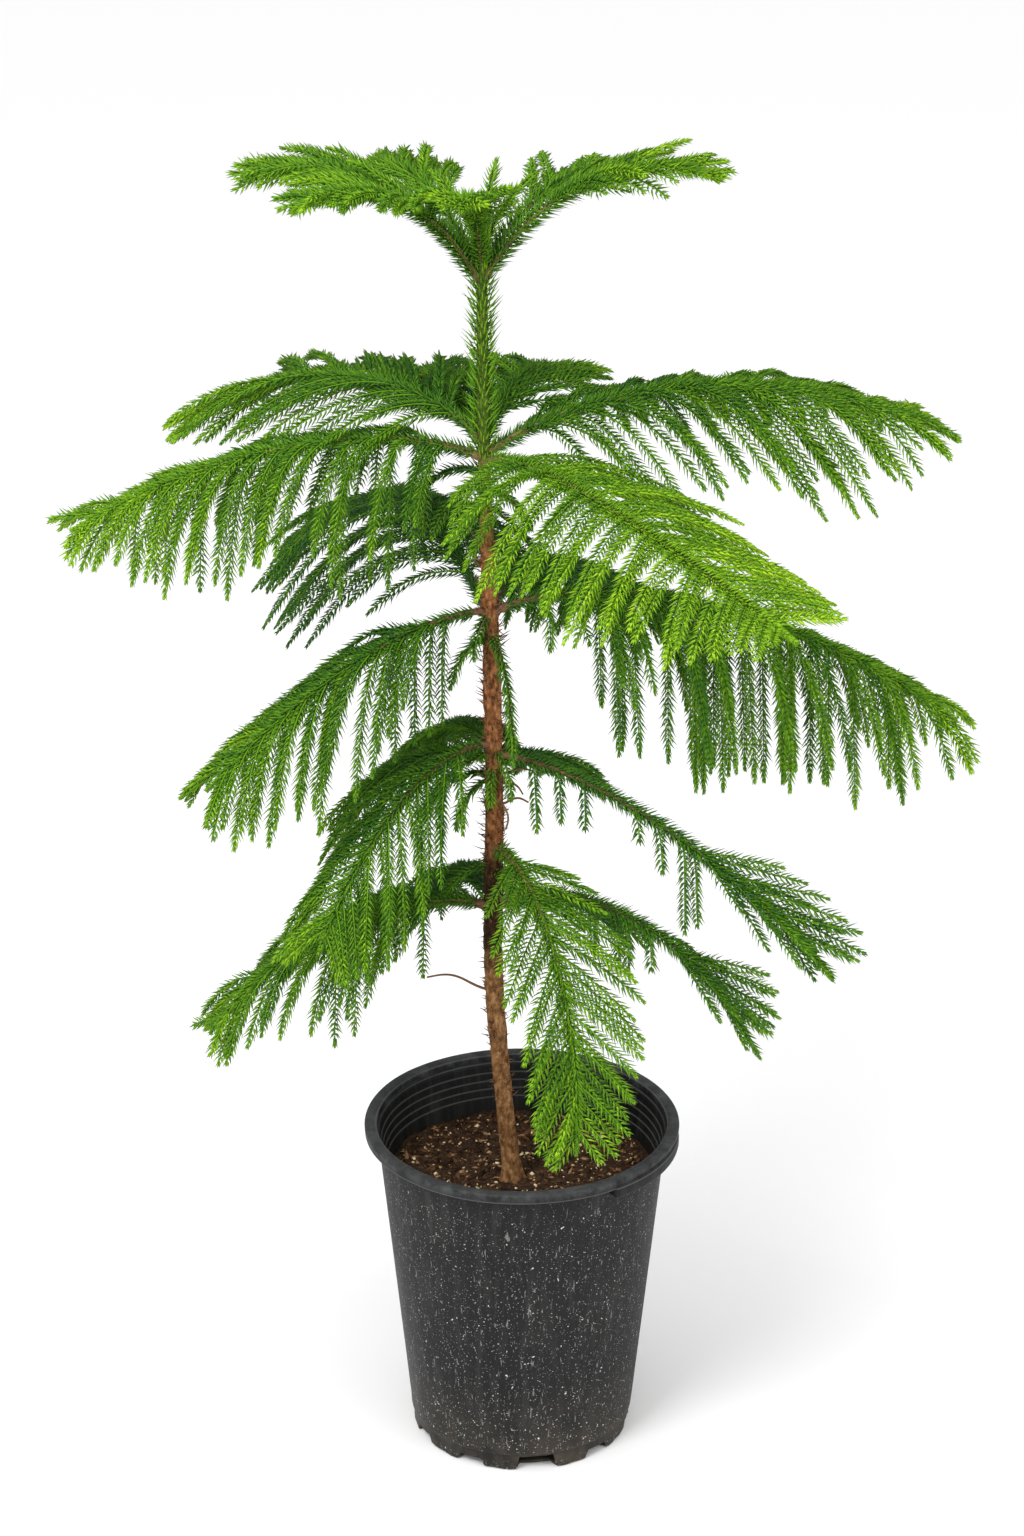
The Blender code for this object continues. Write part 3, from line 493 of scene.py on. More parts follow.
# Rings of the surface from the middle to the wall, then down the wall and back under it
ring_share = np.concatenate((np.linspace(0.004, 1.0, SOIL_RINGS), (1.0, 0.96, 0.02)))[:, None]
soil_turn = even_turns(SOIL_SIDES)[None]
soil_x = SOIL_RADIUS * ring_share * np.cos(soil_turn)
soil_y = SOIL_RADIUS * ring_share * np.sin(soil_turn)
soil_z = soil_height(soil_x, soil_y)
soil_z[SOIL_RINGS:] = SOIL_TOP - SOIL_SKIRT
soil_rings = np.stack((soil_x, soil_y, soil_z), axis=-1)
soil = put_mesh("soil_surface", *skin(soil_rings[::-1]), [soil_mix])
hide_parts("soil")
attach(soil, "root")


def scatter_on_soil(rng, count, clear):
    """Places spread evenly over the soil, apart from a ring against the wall and the trunk's foot."""
    radius = (SOIL_RADIUS - clear) * np.sqrt(rng.uniform(0.0, 1.0, count))
    turn = rng.uniform(0, 2 * math.pi, count)
    x, y = radius * np.cos(turn), radius * np.sin(turn)
    off_trunk = np.hypot(x - TRUNK_FOOT[0], y - TRUNK_FOOT[1]) > CLEAR_OF_TRUNK
    x, y = x[off_trunk], y[off_trunk]
    return np.stack((x, y, soil_height(x, y)), axis=1)


def unit(vectors):
    return vectors / np.linalg.norm(vectors, axis=-1, keepdims=True)


SPLINTER = np.array([(1, 0, 0), (0, 1, 0), (-1, 0, 0), (0, -1, 0), (0, 0, 1), (0, 0, -1)], float)
SPLINTER_FACES = np.array(
    [(0, 1, 4), (1, 2, 4), (2, 3, 4), (3, 0, 4), (1, 0, 5), (2, 1, 5), (3, 2, 5), (0, 3, 5)])


def crumbs(rng, places, length, width, thickness, tilt):
    """Eight-faced splinters: one double pyramid stretched, jittered, tilted and turned for each
    place."""
    count = len(places)
    size = np.stack((length, width, thickness), axis=1)
    corners = SPLINTER[None] * size[:, None] * rng.uniform(0.65, 1.2, (count, 6, 3))
    lean = rng.normal(0.0, tilt, count)
    cos, sin = np.cos(lean)[:, None], np.sin(lean)[:, None]
    x = corners[..., 0] * cos + corners[..., 2] * sin
    z = corners[..., 2] * cos - corners[..., 0] * sin
    turn = rng.uniform(0, 2 * math.pi, count)[:, None]
    y = corners[..., 1]
    cos, sin = np.cos(turn), np.sin(turn)
    points = np.stack((x * cos - y * sin, x * sin + y * cos, z), axis=-1) + places[:, None]
    faces = SPLINTER_FACES[None] + 6 * np.arange(count)[:, None, None]
    return points.reshape(-1, 3), [faces.reshape(-1, 3)]


def plain_finish(name, colour, roughness, specular=0.3):
    material, _, shader = new_material(name, roughness, specular)
    shader.inputs["Base Color"].default_value = (*colour, 1.0)
    return material


# Chips of bark and crumbs of perlite. For each kind: how many, how near the wall, mean and least
# length, width and thickness as (share of the length, more), tilt, and its finishes with their shares
STREWN = {
    "soil_bark_chips": (1500, 0.006, 0.0011, 0.001, (0.25, 0.0006), (0.12, 0.0005), 0.35, (
        ("bark chip dark", (0.030, 0.015, 0.008), 0.9, 0.5),
        ("bark chip brown", (0.12, 0.056, 0.024), 0.9, 0.35),
        ("bark chip tan", (0.33, 0.185, 0.090), 0.85, 0.15),
    )),
    "soil_perlite": (340, 0.005, 0.00034, 0.0005, (1.0, 0.0), (0.8, 0.0), 0.6, (
        ("perlite white", (0.80, 0.66, 0.42), 0.9, 0.6),
        ("perlite stained", (0.50, 0.34, 0.16), 0.9, 0.4),
    )),
}
soil_rng = np.random.default_rng(11)
for name, (count, clear, mean, least, width, thickness, tilt, kinds) in STREWN.items():
    places = scatter_on_soil(soil_rng, count, clear)
    length = soil_rng.gamma(3.0, mean, len(places)) + least
    width, thickness = (share * length + more for share, more in (width, thickness))
    bits = crumbs(soil_rng, places, length, width, thickness, tilt)
    finishes = [plain_finish(*kind[:3], specular=0.1) for kind in kinds]
    tone = soil_rng.choice(len(kinds), len(places), p=[kind[3] for kind in kinds])
    strewn = put_mesh(name, *bits, finishes, np.repeat(tone, 8), smooth=False)
    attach(strewn, "root")


# Trunk
# One slim leader, woody and brown below and still green above the fourth tier, with a root flare.
# Its bark is rough with small plates, scars and fine grooves.

TRUNK_LINE = (
    (-0.0080, -0.0200, 0.2543),
    (-0.0170, -0.0190, 0.3500),
    (-0.0245, -0.0180, 0.4600),
    (-0.0238, -0.0180, 0.6200),
    (-0.0262, -0.0180, 0.7700),
    (-0.0315, -0.0180, 0.9250),
    (-0.0330, -0.0170, 1.0700),
    (-0.0345, -0.0170, 1.1330),
)
TRUNK_FOOT_RADIUS = 0.0078
TRUNK_TIP_RADIUS = 0.0042
FLARE_RADIUS = 0.0035
FLARE_HEIGHT = 0.022
FLARE_LOBES = 5
TRUNK_RINGS = 1300
TRUNK_SIDES = 56
TURNS_GREEN = 0.84
UP = np.array((0.0, 0.0, 1.0))


def smooth_line(points, count):
    """Smooth curve through the points: each stretch is a cubic, and its slope at each of its ends is
    half the step between the two points on either side."""
    points = np.asarray(points, float)
    padded = np.vstack((2 * points[0] - points[1], points, 2 * points[-1] - points[-2]))
    places = np.linspace(0.0, len(points) - 1.0, count)
    first = np.minimum(places.astype(int), len(points) - 2)
    t = (places - first)[:, None]
    before, start, end, after = (padded[first + k] for k in range(4))
    return 0.5 * (
        2 * start
        + (end - before) * t
        + (2 * before - 5 * start + 4 * end - after) * t**2
        + (3 * start - before - 3 * end + after) * t**3
    )


TRUNK_CURVE = smooth_line(TRUNK_LINE, 400)


def pick(places, table, what):
    """Rows of what, read between the places in the table."""
    return np.stack([np.interp(places, table, what[:, axis]) for axis in range(3)], axis=-1)


def trunk_at(height):
    return pick(height, TRUNK_CURVE[:, 2], TRUNK_CURVE)


def trunk_radius(height):
    """Even taper from foot to tip, with a root flare that dies away above the soil."""
    foot = TRUNK_LINE[0][2]
    share = np.clip((height - foot) / (TRUNK_LINE[-1][2] - foot), 0.0, 1.0)
    taper = TRUNK_FOOT_RADIUS + (TRUNK_TIP_RADIUS - TRUNK_FOOT_RADIUS) * share**1.2
    return taper + FLARE_RADIUS * np.exp(-(height - foot) / FLARE_HEIGHT * 2.0)


def bark_relief(turn, height):
    """Plates and scars are two sizes of noise, grooves are two sines that wind slowly up the trunk,
    and coarse lumps are added from well above the soil to the fourth tier."""
    around = turn / (2 * math.pi)
    wave = np.sin(2 * math.pi * around * 9 + 40 * height + 2.2 * np.sin(90 * height))
    fine = np.sin(2 * math.pi * around * 23 - 130 * height + 3.0 * np.sin(61 * height + 5 * around))
    plates = value_noise(around * 0.30, height, 0.0125, 5)
    scars = value_noise(around * 0.12, height, 0.0040, 6)
    scaly = np.clip((height - 0.36) / 0.10, 0.0, 1.0) * np.clip((0.86 - height) / 0.10, 0.0, 1.0)
    lumps = value_noise(around * 0.20, height, 0.0075, 8)
    relief = 0.00022 * wave + 0.00012 * fine + 0.00060 * plates + 0.00026 * scars
    return relief + scaly * (0.0009 + 0.0008 * lumps)


# Chestnut at the foot, nearly black round the first tier, reddish from there up, then green
BARK_BANDS = (
    (0.0, 0.0, (
        (0.32, (0.046, 0.019, 0.008)), (0.50, (0.20, 0.096, 0.036)), (0.68, (0.43, 0.235, 0.105)))),
    (0.45, 0.49, (
        (0.36, (0.010, 0.005, 0.003)), (0.56, (0.048, 0.023, 0.009)), (0.74, (0.18, 0.092, 0.042)))),
    (0.56, 0.59, (
        (0.34, (0.040, 0.014, 0.006)), (0.50, (0.22, 0.086, 0.030)), (0.72, (0.48, 0.220, 0.092)))),
    (0.84, 0.95, (
        (0.30, (0.030, 0.050, 0.006)), (0.60, (0.10, 0.15, 0.018)), (0.80, (0.26, 0.26, 0.050)))),
)
trunk_bark = grained("pine bark", 0.85, 0.10, (210.0, 6.0, 0.68, 0.60), BARK_BANDS,
                     (420.0, 5.0, 0.7, 0.5), 0.6, 0.0012)
trunk_heights = np.linspace(TRUNK_LINE[0][2], TRUNK_LINE[-1][2], TRUNK_RINGS)[:, None]
trunk_turn = even_turns(TRUNK_SIDES)[None]
flared = np.exp(-(trunk_heights - TRUNK_LINE[0][2]) / FLARE_HEIGHT * 2.0)
trunk_ring = trunk_radius(trunk_heights) * (1 + 0.14 * flared * np.cos(FLARE_LOBES * trunk_turn + 0.6))
smoother = 1.0 - 0.75 * np.clip((trunk_heights - TURNS_GREEN) / 0.10, 0.0, 1.0)
trunk_ring = trunk_ring + bark_relief(trunk_turn, trunk_heights) * smoother
trunk_middle = trunk_at(trunk_heights[:, 0])[:, None]
trunk_rings = trunk_middle + turned(trunk_ring, 0.0, trunk_turn)
trunk = put_mesh("trunk_bark", *skin(trunk_rings), [trunk_bark])
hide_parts("trunk")
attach(trunk, "root")


# Boughs
# Each bough leaves the trunk in a vertical plane of its own and arches over: a woody foot that grows
# on as the green stem of its sprays. All the boughs of a tier leave the trunk at nearly one height.

# Height on the trunk, heading seen from above, length, angle above level at the foot and at the tip,
# how soon it bends, turn on the way, bare length, longest branchlet, how far these hang, their angle
# to the bough, and the tone of the inner and outer foliage as places on the list of greens: partly how
# fresh it is and partly painted light and shade, brighter on the front boughs and darker on the back
# ones
COLUMNS = ("height", "azimuth", "length", "launch", "tip", "ease", "sweep", "bare", "spray", "hang",
           "spread", "inner", "outer")
BOUGHS = {
    "tier1_front": (0.577, -65, 0.319, 14, -98, 0.77, -7, 0.03, 0.1, 0.3, 45, 2.7, 3.4),
    "tier1_right": (0.524, -21.5, 0.263, 36, -57, 0.71, 0, 0.165, 0.085, 0.15, 36, 1.4, 2.6),
    "tier1_back_right": (0.518, 42, 0.19, 0, -42, 0.8, 0, 0.03, 0.07, 0.7, 55, 1.2, 2.4),
    "tier1_back": (0.525, 105, 0.21, 12, -50, 0.8, 0, 0.03, 0.09, 0.8, 55, 1.2, 2.6),
    "tier1_back_left": (0.515, 150, 0.225, 15, -55, 0.8, 0, 0.03, 0.11, 0.8, 55, 1.4, 2.7),
    "tier1_left": (0.522, 189, 0.285, 16, -55, 0.83, 0, 0.05, 0.115, 0.8, 55, 2.0, 3.2),
    "tier2_right": (0.661, -31, 0.335, 28, -34, 0.32, 0, 0.2, 0.1, 0.1, 34, 1.4, 2.4),
    "tier2_back_right": (0.657, 58, 0.17, -8, -40, 0.8, 0, 0.03, 0.07, 0.7, 55, 1.4, 2.6),
    "tier2_back": (0.666, 110, 0.22, 18, -50, 0.6, 0, 0.03, 0.1, 0.8, 55, 1.6, 2.8),
    "tier2_back_left": (0.659, 160, 0.152, 20, -50, 0.6, 0, 0.03, 0.105, 0.8, 55, 1.8, 3.0),
    "tier2_left": (0.67, 222, 0.255, 46, -64, 0.38, 0, 0.035, 0.125, 0.8, 55, 1.8, 2.9),
    "tier3_right": (0.79, -4, 0.418, 42, -35, 0.43, 0, 0.07, 0.18, 0.9, 55, 1.6, 3.4),
    "tier3_back": (0.797, 62, 0.29, 35, -45, 0.5, 0, 0.05, 0.135, 0.8, 55, 1.0, 2.2),
    "tier3_back_left": (0.785, 114, 0.34, 32, -44, 1.2, 0, 0.05, 0.19, 0.65, 66, 0.9, 1.8),
    "tier3_left": (0.792, 203, 0.288, 31, -42, 0.3, 0, 0.049, 0.145, 0.8, 55, 1.5, 3.2),
    "tier4_right": (0.93, 14, 0.41, 34, -27.5, 0.755, 0, 0.03, 0.15, 0.6, 55, 1.9, 3.4),
    "tier4_back_right": (0.938, 72, 0.205, 39, -26, 0.74, 0, 0.025, 0.09, 0.45, 55, 1.7, 3.0),
    "tier4_back": (0.931, 106, 0.225, 37, -26, 0.74, 0, 0.025, 0.09, 0.45, 55, 1.7, 3.0),
    "tier4_back_left": (0.939, 152, 0.298, 60, -34, 0.5, 0, 0.03, 0.13, 0.5, 55, 1.9, 3.4),
    "tier4_left": (0.927, 193, 0.356, 37, -27, 0.5, 0, 0.03, 0.145, 0.85, 55, 1.9, 3.7),
    "tier4_front": (0.922, -60, 0.405, 68, -18, 0.18, 14, 0.04, 0.15, 0.5, 68, 3.0, 4.4),
    "tier5_right": (1.078, -7, 0.232, 58, -20, 1.4, 0, 0.0, 0.084, 0.5, 44, 2.2, 3.5),
    "tier5_back_right": (1.085, 46, 0.19, 48, -22, 1.2, 0, 0.0, 0.078, 0.5, 44, 2.1, 3.2),
    "tier5_back": (1.078, 125, 0.2, 53, -24, 1.2, 0, 0.0, 0.08, 0.5, 44, 2.1, 3.2),
    "tier5_left": (1.083, 177, 0.222, 54, -22, 1.4, 0, 0.0, 0.084, 0.5, 44, 2.0, 3.2),
    "tier5_front_left": (1.075, 212, 0.212, 60, -20, 1.4, 0, 0.0, 0.078, 0.5, 44, 2.1, 3.3),
    "tier5_front": (1.082, 262, 0.15, 72, -10, 1.4, 0, 0.0, 0.06, 0.45, 46, 2.4, 3.6),
}
BOUGH_FOOT_RADIUS = 0.0034
BOUGH_TIP_RADIUS = 0.0008
SLENDER = 0.45
LIMB_STEPS = 220
LIMB_SIDES = 14
COLLAR = 0.55
COLLAR_LENGTH = 0.010
KNOTS = 0.09
FINE = 400


def arch(row, count):
    """Line of a bough, its headings and its level right-hand sides: the angle above level runs from
    launch to tip as the share of the way to the power of ease."""
    share = np.linspace(0.0, 1.0, count)
    rise = np.radians(row["launch"] + (row["tip"] - row["launch"]) * share ** row["ease"])
    turn = np.radians(row["azimuth"] + row["sweep"] * share)
    heading = np.stack((np.cos(rise) * np.cos(turn), np.cos(rise) * np.sin(turn), np.sin(rise)), axis=1)
    steps = (heading[1:] + heading[:-1]) / 2 * row["length"] / (count - 1)
    line = np.vstack((np.zeros(3), np.cumsum(steps, axis=0))) + trunk_at(row["height"])
    side = np.stack((np.sin(turn), -np.cos(turn), np.zeros(count)), axis=1)
    return line, heading, side


def limb_radius(row, share):
    """Tapers as the share of the way to the power of 0.8, and is slimmer on a short bough."""
    size = SLENDER + (1.0 - SLENDER) * min(1.0, row["length"] / 0.40)
    return size * (BOUGH_FOOT_RADIUS + (BOUGH_TIP_RADIUS - BOUGH_FOOT_RADIUS) * share**0.8)


def tube_rings(line, across, over, radius, turn):
    """Rings of points round a line; across and over are square to it and to each other."""
    line, across, over = (what[..., None, :] for what in (line, across, over))
    out = np.cos(turn)[:, None] * across + np.sin(turn)[:, None] * over
    return line + radius[..., None] * out


def limb_bark(name, start, end, *tones):
    """Bark at the foot of a limb that turns green from start to end along it. The tones are dark and
    pale bark, then dark and pale green."""
    bark, green = (list(zip((0.30, 0.70), pair)) for pair in (tones[:2], tones[2:]))
    bands = [(0.0, 0.0, bark), (start, end, green)]
    return grained(
        name, 0.75, 0.3, (320.0, 5.0, 0.65), bands, (600.0, 4.0, 0.7), 0.5, 0.0008, along=True)


OLD_LIMB_BARK = limb_bark(
    "old limb bark", 0.06, 0.20, (0.055, 0.026, 0.014), (0.24, 0.12, 0.06),
    (0.05, 0.07, 0.015), (0.17, 0.19, 0.05))
YOUNG_LIMB_BARK = limb_bark(
    "young limb bark", 0.03, 0.12, (0.07, 0.055, 0.015), (0.24, 0.17, 0.06),
    (0.10, 0.14, 0.02), (0.30, 0.34, 0.07))


def limb_mesh(name, row, material):
    """The limb, with a collar that dies away from the trunk, low knots of noise in two sizes, and the
    distance along kept as an attribute. It starts inside the trunk."""
    line, heading, side = arch(row, LIMB_STEPS)
    share = np.linspace(0.0, 1.0, LIMB_STEPS)
    distance = share * row["length"]
    keep = distance >= trunk_radius(row["height"]) * 0.5
    turn = even_turns(LIMB_SIDES)
    collar = 1 + COLLAR * np.exp(-distance / COLLAR_LENGTH)[:, None]
    radius = limb_radius(row, share)[:, None] * collar
    around = turn[None] * 0.02
    knots = value_noise(around, distance[:, None], 0.006, 8)
    knots = knots + value_noise(around, distance[:, None], 0.0022, 9)
    radius = radius * (1 + KNOTS * knots)
    rings = tube_rings(line, side, np.cross(side, heading), radius, turn)[keep]
    limb = put_mesh(name, *skin(rings[:, ::-1]), [material])
    along = limb.data.attributes.new("along", "FLOAT", "POINT")
    distance = np.repeat(distance[keep], LIMB_SIDES)
    along.data.foreach_set("value", np.concatenate((distance, distance[[0, -1]])).astype(np.float32))
    return limb


# Twigs and needles
# Juvenile foliage: soft awl-shaped needles, 6 to 14 mm long, curve forwards in rows along thin green
# branchlets, which leave both sides of the stem like a comb and hang in curtains lower down.

DOWN = -UP
DROOP_LENGTH = 0.055
SPRAY_LIFT = 0.16
# Distance along the bough from one branchlet to the next, by tier
BRANCHLET_GAP = {1: 0.0064, 2: 0.0062, 3: 0.0054, 4: 0.0052, 5: 0.0048}
# The hang dies away over the last part of a bough, so that its tip fans out forwards
TIP_FAN_START = 0.80
TIP_FAN = 0.50
LONE_SHOOT_DROOP = 0.008
# Shoots that were placed one by one, where a bough has lost its spray or has one that is longer:
# distance along the bough, side (1 is its right-hand side), length, hang
LONE_SHOOTS = {
    "tier2_right": (
        (0.03, -1, 0.06, 0.95), (0.036, 1, 0.066, 0.95), (0.06, 1, 0.05, 0.95),
        (0.086, 1, 0.046, 0.95), (0.14, 1, 0.03, 0.95), (0.16, 1, 0.048, 0.95),
        (0.186, 1, 0.088, 0.95), (0.192, -1, 0.082, 0.95),
    ),
    "tier1_right": (
        (0.09, 1, 0.05, 0.95), (0.106, -1, 0.056, 0.95), (0.122, 1, 0.052, 0.95),
        (0.144, 1, 0.042, 0.95), (0.158, -1, 0.036, 0.95), (0.186, -1, 0.09, 0.1),
        (0.2, -1, 0.088, 0.12),
    ),
    "tier3_left": (
        (0.04, -1, 0.095, 0.93), (0.052, -1, 0.1, 0.93), (0.066, -1, 0.105, 0.93),
        (0.082, -1, 0.11, 0.93),
    ),
    "tier4_right": (
        (0.165, 1, 0.15, 0.55), (0.185, 1, 0.165, 0.58), (0.205, 1, 0.175, 0.6),
        (0.225, 1, 0.172, 0.6),
    ),
    "tier3_right": (
        (0.048, 1, 0.05, 0.95), (0.062, 1, 0.065, 0.95), (0.078, 1, 0.125, 0.95),
        (0.108, 1, 0.145, 0.95),
    ),
    "tier1_left": (
        (0.056, -1, 0.072, 0.93), (0.075, -1, 0.088, 0.93), (0.094, -1, 0.102, 0.93),
        (0.114, -1, 0.11, 0.93), (0.134, -1, 0.114, 0.93),
    ),
}
LONE_FROM_HANG = 0.9
BRANCHLETS_START = 0.006
BRANCHLETS_END = 0.955
BRANCHLET_STEPS = 14
TWIG_FOOT_RADIUS = 0.00085
TWIG_TIP_RADIUS = 0.00035
# The crown's boughs carry branchlets on their outer part alone, and a comb of long needles below it
CROWN_BARE_SHARE = 0.34
CROWN_NEEDLE_LENGTH = 0.0160
CROWN_NEEDLE_PITCH = 0.0042
# Needles of a branchlet: distance from one to the next in a row, where the rows stand round it, where
# each row starts and how long its needles are beside the longest row's
NEEDLE_PITCH = 0.0047
NEEDLE_ROWS = np.radians((2.0, 178.0, 48.0, 132.0, -50.0))
NEEDLE_ROW_PHASE = np.array((0.0, 0.05, 0.15, 0.20, 0.60))
NEEDLE_ROW_SIZE = np.array((1.0, 1.0, 0.90, 0.90, 0.60))
NEEDLE_LENGTH = 0.0124
NEEDLE_WIDTH = 0.0022
NEEDLE_WAIST = 0.32
NEEDLE_LEAN = 50.0
NEEDLE_BOW = 16.0
NEEDLE_FACES = 6
STEM_NEEDLE_LENGTH = 0.0130
STEM_NEEDLE_LEAN = 64.0
STEM_NEEDLE_PITCH = 0.0034
STEM_NEEDLE_ROWS = np.radians((5, 40, 75, 105, 140, 175, 215, 250, 290, 325))
STEM_NEEDLES_START = 0.014
YOUNG_STEM_NEEDLES_START = 0.010
STEM_POINTS = 60
# Plain base colours, dealt out by a scale that is partly how fresh each needle is and partly painted
# light and shade
GREENS = {
    "needles blue green": (0.058, 0.150, 0.046),
    "needles deep green": (0.042, 0.134, 0.016),
    "needles mid green": (0.080, 0.208, 0.015),
    "needles leaf green": (0.138, 0.302, 0.016),
    "needles fresh green": (0.225, 0.430, 0.018),
    "needles newest green": (0.340, 0.550, 0.028),
}
greens = [plain_finish(name, colour, 0.60, 0.06) for name, colour in GREENS.items()]


def spray_length(row, share):
    """Branchlets have their full length by a seventh of the way and shorten over the last third."""
    return row["spray"] * np.minimum(1.0, 0.55 + 3.0 * share) * (1.0 - 0.8 * share**3.2)


def branchlets(row, gap, shoots, rng):
    """Lines (count, points, 3) of a bough's branchlets, with headings, level directions, lengths and
    the share along the bough. Each leaves forwards, sideways and a little up, and turns down as
    1 - exp(-t / droop). The shoots placed one by one follow the others."""
    line, heading, side = arch(row, FINE)
    table = np.linspace(0.0, row["length"], FINE)
    start = row["bare"] if row["bare"] > 0.0 else CROWN_BARE_SHARE * row["length"]
    distance = np.arange(start + BRANCHLETS_START, row["length"] * BRANCHLETS_END, gap)
    hand = np.where(np.arange(len(distance)) % 2, 1.0, -1.0)
    distance = distance + rng.uniform(-0.25, 0.25, len(distance)) * gap
    share = (distance - row["bare"]) / (row["length"] - row["bare"])
    length = spray_length(row, share) * rng.uniform(0.84, 1.06, len(distance))
    past_fan = np.clip((share - TIP_FAN_START) / (1.0 - TIP_FAN_START), 0.0, 1.0)
    hang = row["hang"] * (1.0 - TIP_FAN * past_fan)
    if shoots:
        lone = np.array(shoots).T
        rows = zip((distance, hand, length, hang, share), (*lone, lone[0] / row["length"]))
        distance, hand, length, hang, share = (np.concatenate(pair) for pair in rows)
    count = len(distance)
    hand = hand[:, None]
    ahead = unit(pick(distance, table, heading))
    aside = unit(pick(distance, table, side)) * hand
    lift = np.cross(aside, ahead) * hand
    spread = row["spread"] - 10.0 * distance / row["length"] + rng.normal(0, 4.0, count)
    spread = np.radians(spread)[:, None]
    raised = SPRAY_LIFT + rng.normal(0.0, 0.10, count)[:, None]
    first = unit(np.cos(spread) * ahead + np.sin(spread) * aside + raised * lift)
    t = np.linspace(0.0, 1.0, BRANCHLET_STEPS)[None] * length[:, None]
    hang = hang[:, None] * rng.uniform(0.9, 1.1, count)[:, None]
    droop = np.where(hang > LONE_FROM_HANG, LONE_SHOOT_DROOP, DROOP_LENGTH)
    weight = np.minimum(0.97, hang * (1.0 - np.exp(-t / droop)))[..., None]
    way = unit(first[:, None] * (1.0 - weight) + DOWN * weight)
    step = (way[:, 1:] + way[:, :-1]) / 2 * (length / (BRANCHLET_STEPS - 1))[:, None, None]
    lines = np.concatenate((np.zeros((count, 1, 3)), np.cumsum(step, axis=1)), axis=1)
    lines += pick(distance, table, line)[:, None]
    across = unit(ahead[:, None] - way * np.sum(way * ahead[:, None], axis=2, keepdims=True))
    return lines, way, across, length, share


def twig_shapes(lines, way, across, foot, tip):
    """Four-sided tubes that taper from foot to tip radius, one for each line, as one shape."""
    count, steps = lines.shape[:2]
    turn = even_turns(4)
    radius = np.linspace(1.0, 0.0, steps)[:, None] * (foot - tip) + tip
    rings = tube_rings(lines, across, np.cross(way, across), radius, turn)
    ends = np.array([(3, 2, 1, 0), (4 * steps - 4, 4 * steps - 3, 4 * steps - 2, 4 * steps - 1)])
    faces = np.vstack((tube_sides(steps, 4), ends))[:, ::-1]
    all_faces = faces[None] + 4 * steps * np.arange(count)[:, None, None]
    return rings.reshape(-1, 3), [all_faces.reshape(-1, 4)]


def needle_shapes(foot, way, across, roll, length, width, lean, bow):
    """Awl-shaped needles: a root sunk in the twig, its widest ring a third of the way out, and a
    point. Each leaves its twig at the lean and has turned forwards by the bow at its tip."""
    normal = np.cross(way, across)
    out = np.cos(roll)[:, None] * across + np.sin(roll)[:, None] * normal
    lean = np.radians(lean)[:, None]
    bow = np.radians(bow)
    early = np.cos(lean) * way + np.sin(lean) * out
    late = np.cos(lean - bow) * way + np.sin(lean - bow) * out
    waist = foot + NEEDLE_WAIST * length[:, None] * early
    tip = waist + (1.0 - NEEDLE_WAIST) * length[:, None] * late
    flat = unit(np.cross(way, out))
    thick = np.cross(flat, early)
    turn = np.radians((90.0, 210.0, 330.0))
    over, aside = np.sin(turn)[None, :, None], np.cos(turn)[None, :, None]
    ring = waist[:, None] + width / 2 * (over * thick[:, None] * 0.8 + aside * flat[:, None] * 1.15)
    points = np.concatenate((foot[:, None], ring, tip[:, None]), axis=1)
    faces = np.array([(4, 1, 2), (4, 2, 3), (4, 3, 1), (0, 2, 1), (0, 3, 2), (0, 1, 3)])
    faces = faces[None] + 5 * np.arange(len(foot))[:, None, None]
    return points.reshape(-1, 3), [faces.reshape(-1, 3)]


def needles_along(lines, way, across, length, freshness_and_light, rng, pitch=NEEDLE_PITCH, size=NEEDLE_LENGTH,
                  rows=NEEDLE_ROWS, lean=NEEDLE_LEAN):
    """Needles for every line at once, and the tone of each face: stations at an even pitch with a
    needle for each row. Towards the tip they grow shorter and lean less."""
    phase = np.resize(NEEDLE_ROW_PHASE, len(rows))
    row_size = np.resize(NEEDLE_ROW_SIZE, len(rows))
    stations = np.maximum(2, (length / pitch).astype(int))
    owner = np.repeat(np.arange(len(lines)), stations)
    number = np.arange(len(owner)) - np.repeat(np.cumsum(stations) - stations, stations)
    place = (number[:, None] + 0.3 + phase[None]) / stations[owner][:, None]
    owner = np.repeat(owner[:, None], len(rows), axis=1).ravel()
    place = place.ravel()
    roll = np.tile(rows, len(number)) + rng.normal(0.0, 0.13, len(place))
    steps = lines.shape[1] - 1
    spot = np.clip(place, 0.0, 0.9999) * steps
    low = spot.astype(int)
    part = (spot - low)[:, None]
    foot = lines[owner, low] * (1 - part) + lines[owner, low + 1] * part
    heading = unit(way[owner, low] * (1 - part) + way[owner, low + 1] * part)
    flat = unit(across[owner, low] * (1 - part) + across[owner, low + 1] * part)
    full = np.tile(row_size, len(number)) * size * rng.uniform(0.85, 1.12, len(place))
    full *= 1.0 - 0.55 * np.clip((place - 0.80) / 0.20, 0.0, 1.0)
    lean = lean + rng.normal(0.0, 5.0, len(place)) - 28.0 * np.clip((place - 0.86) / 0.14, 0.0, 1.0)
    shape = needle_shapes(foot, heading, flat, roll, full, NEEDLE_WIDTH, lean, NEEDLE_BOW)
    # The tone scale is partly real freshness and partly painted light and shade
    tone = np.clip(np.round(freshness_and_light(owner, place)), 0, len(greens) - 1)
    return shape, np.repeat(tone, NEEDLE_FACES)


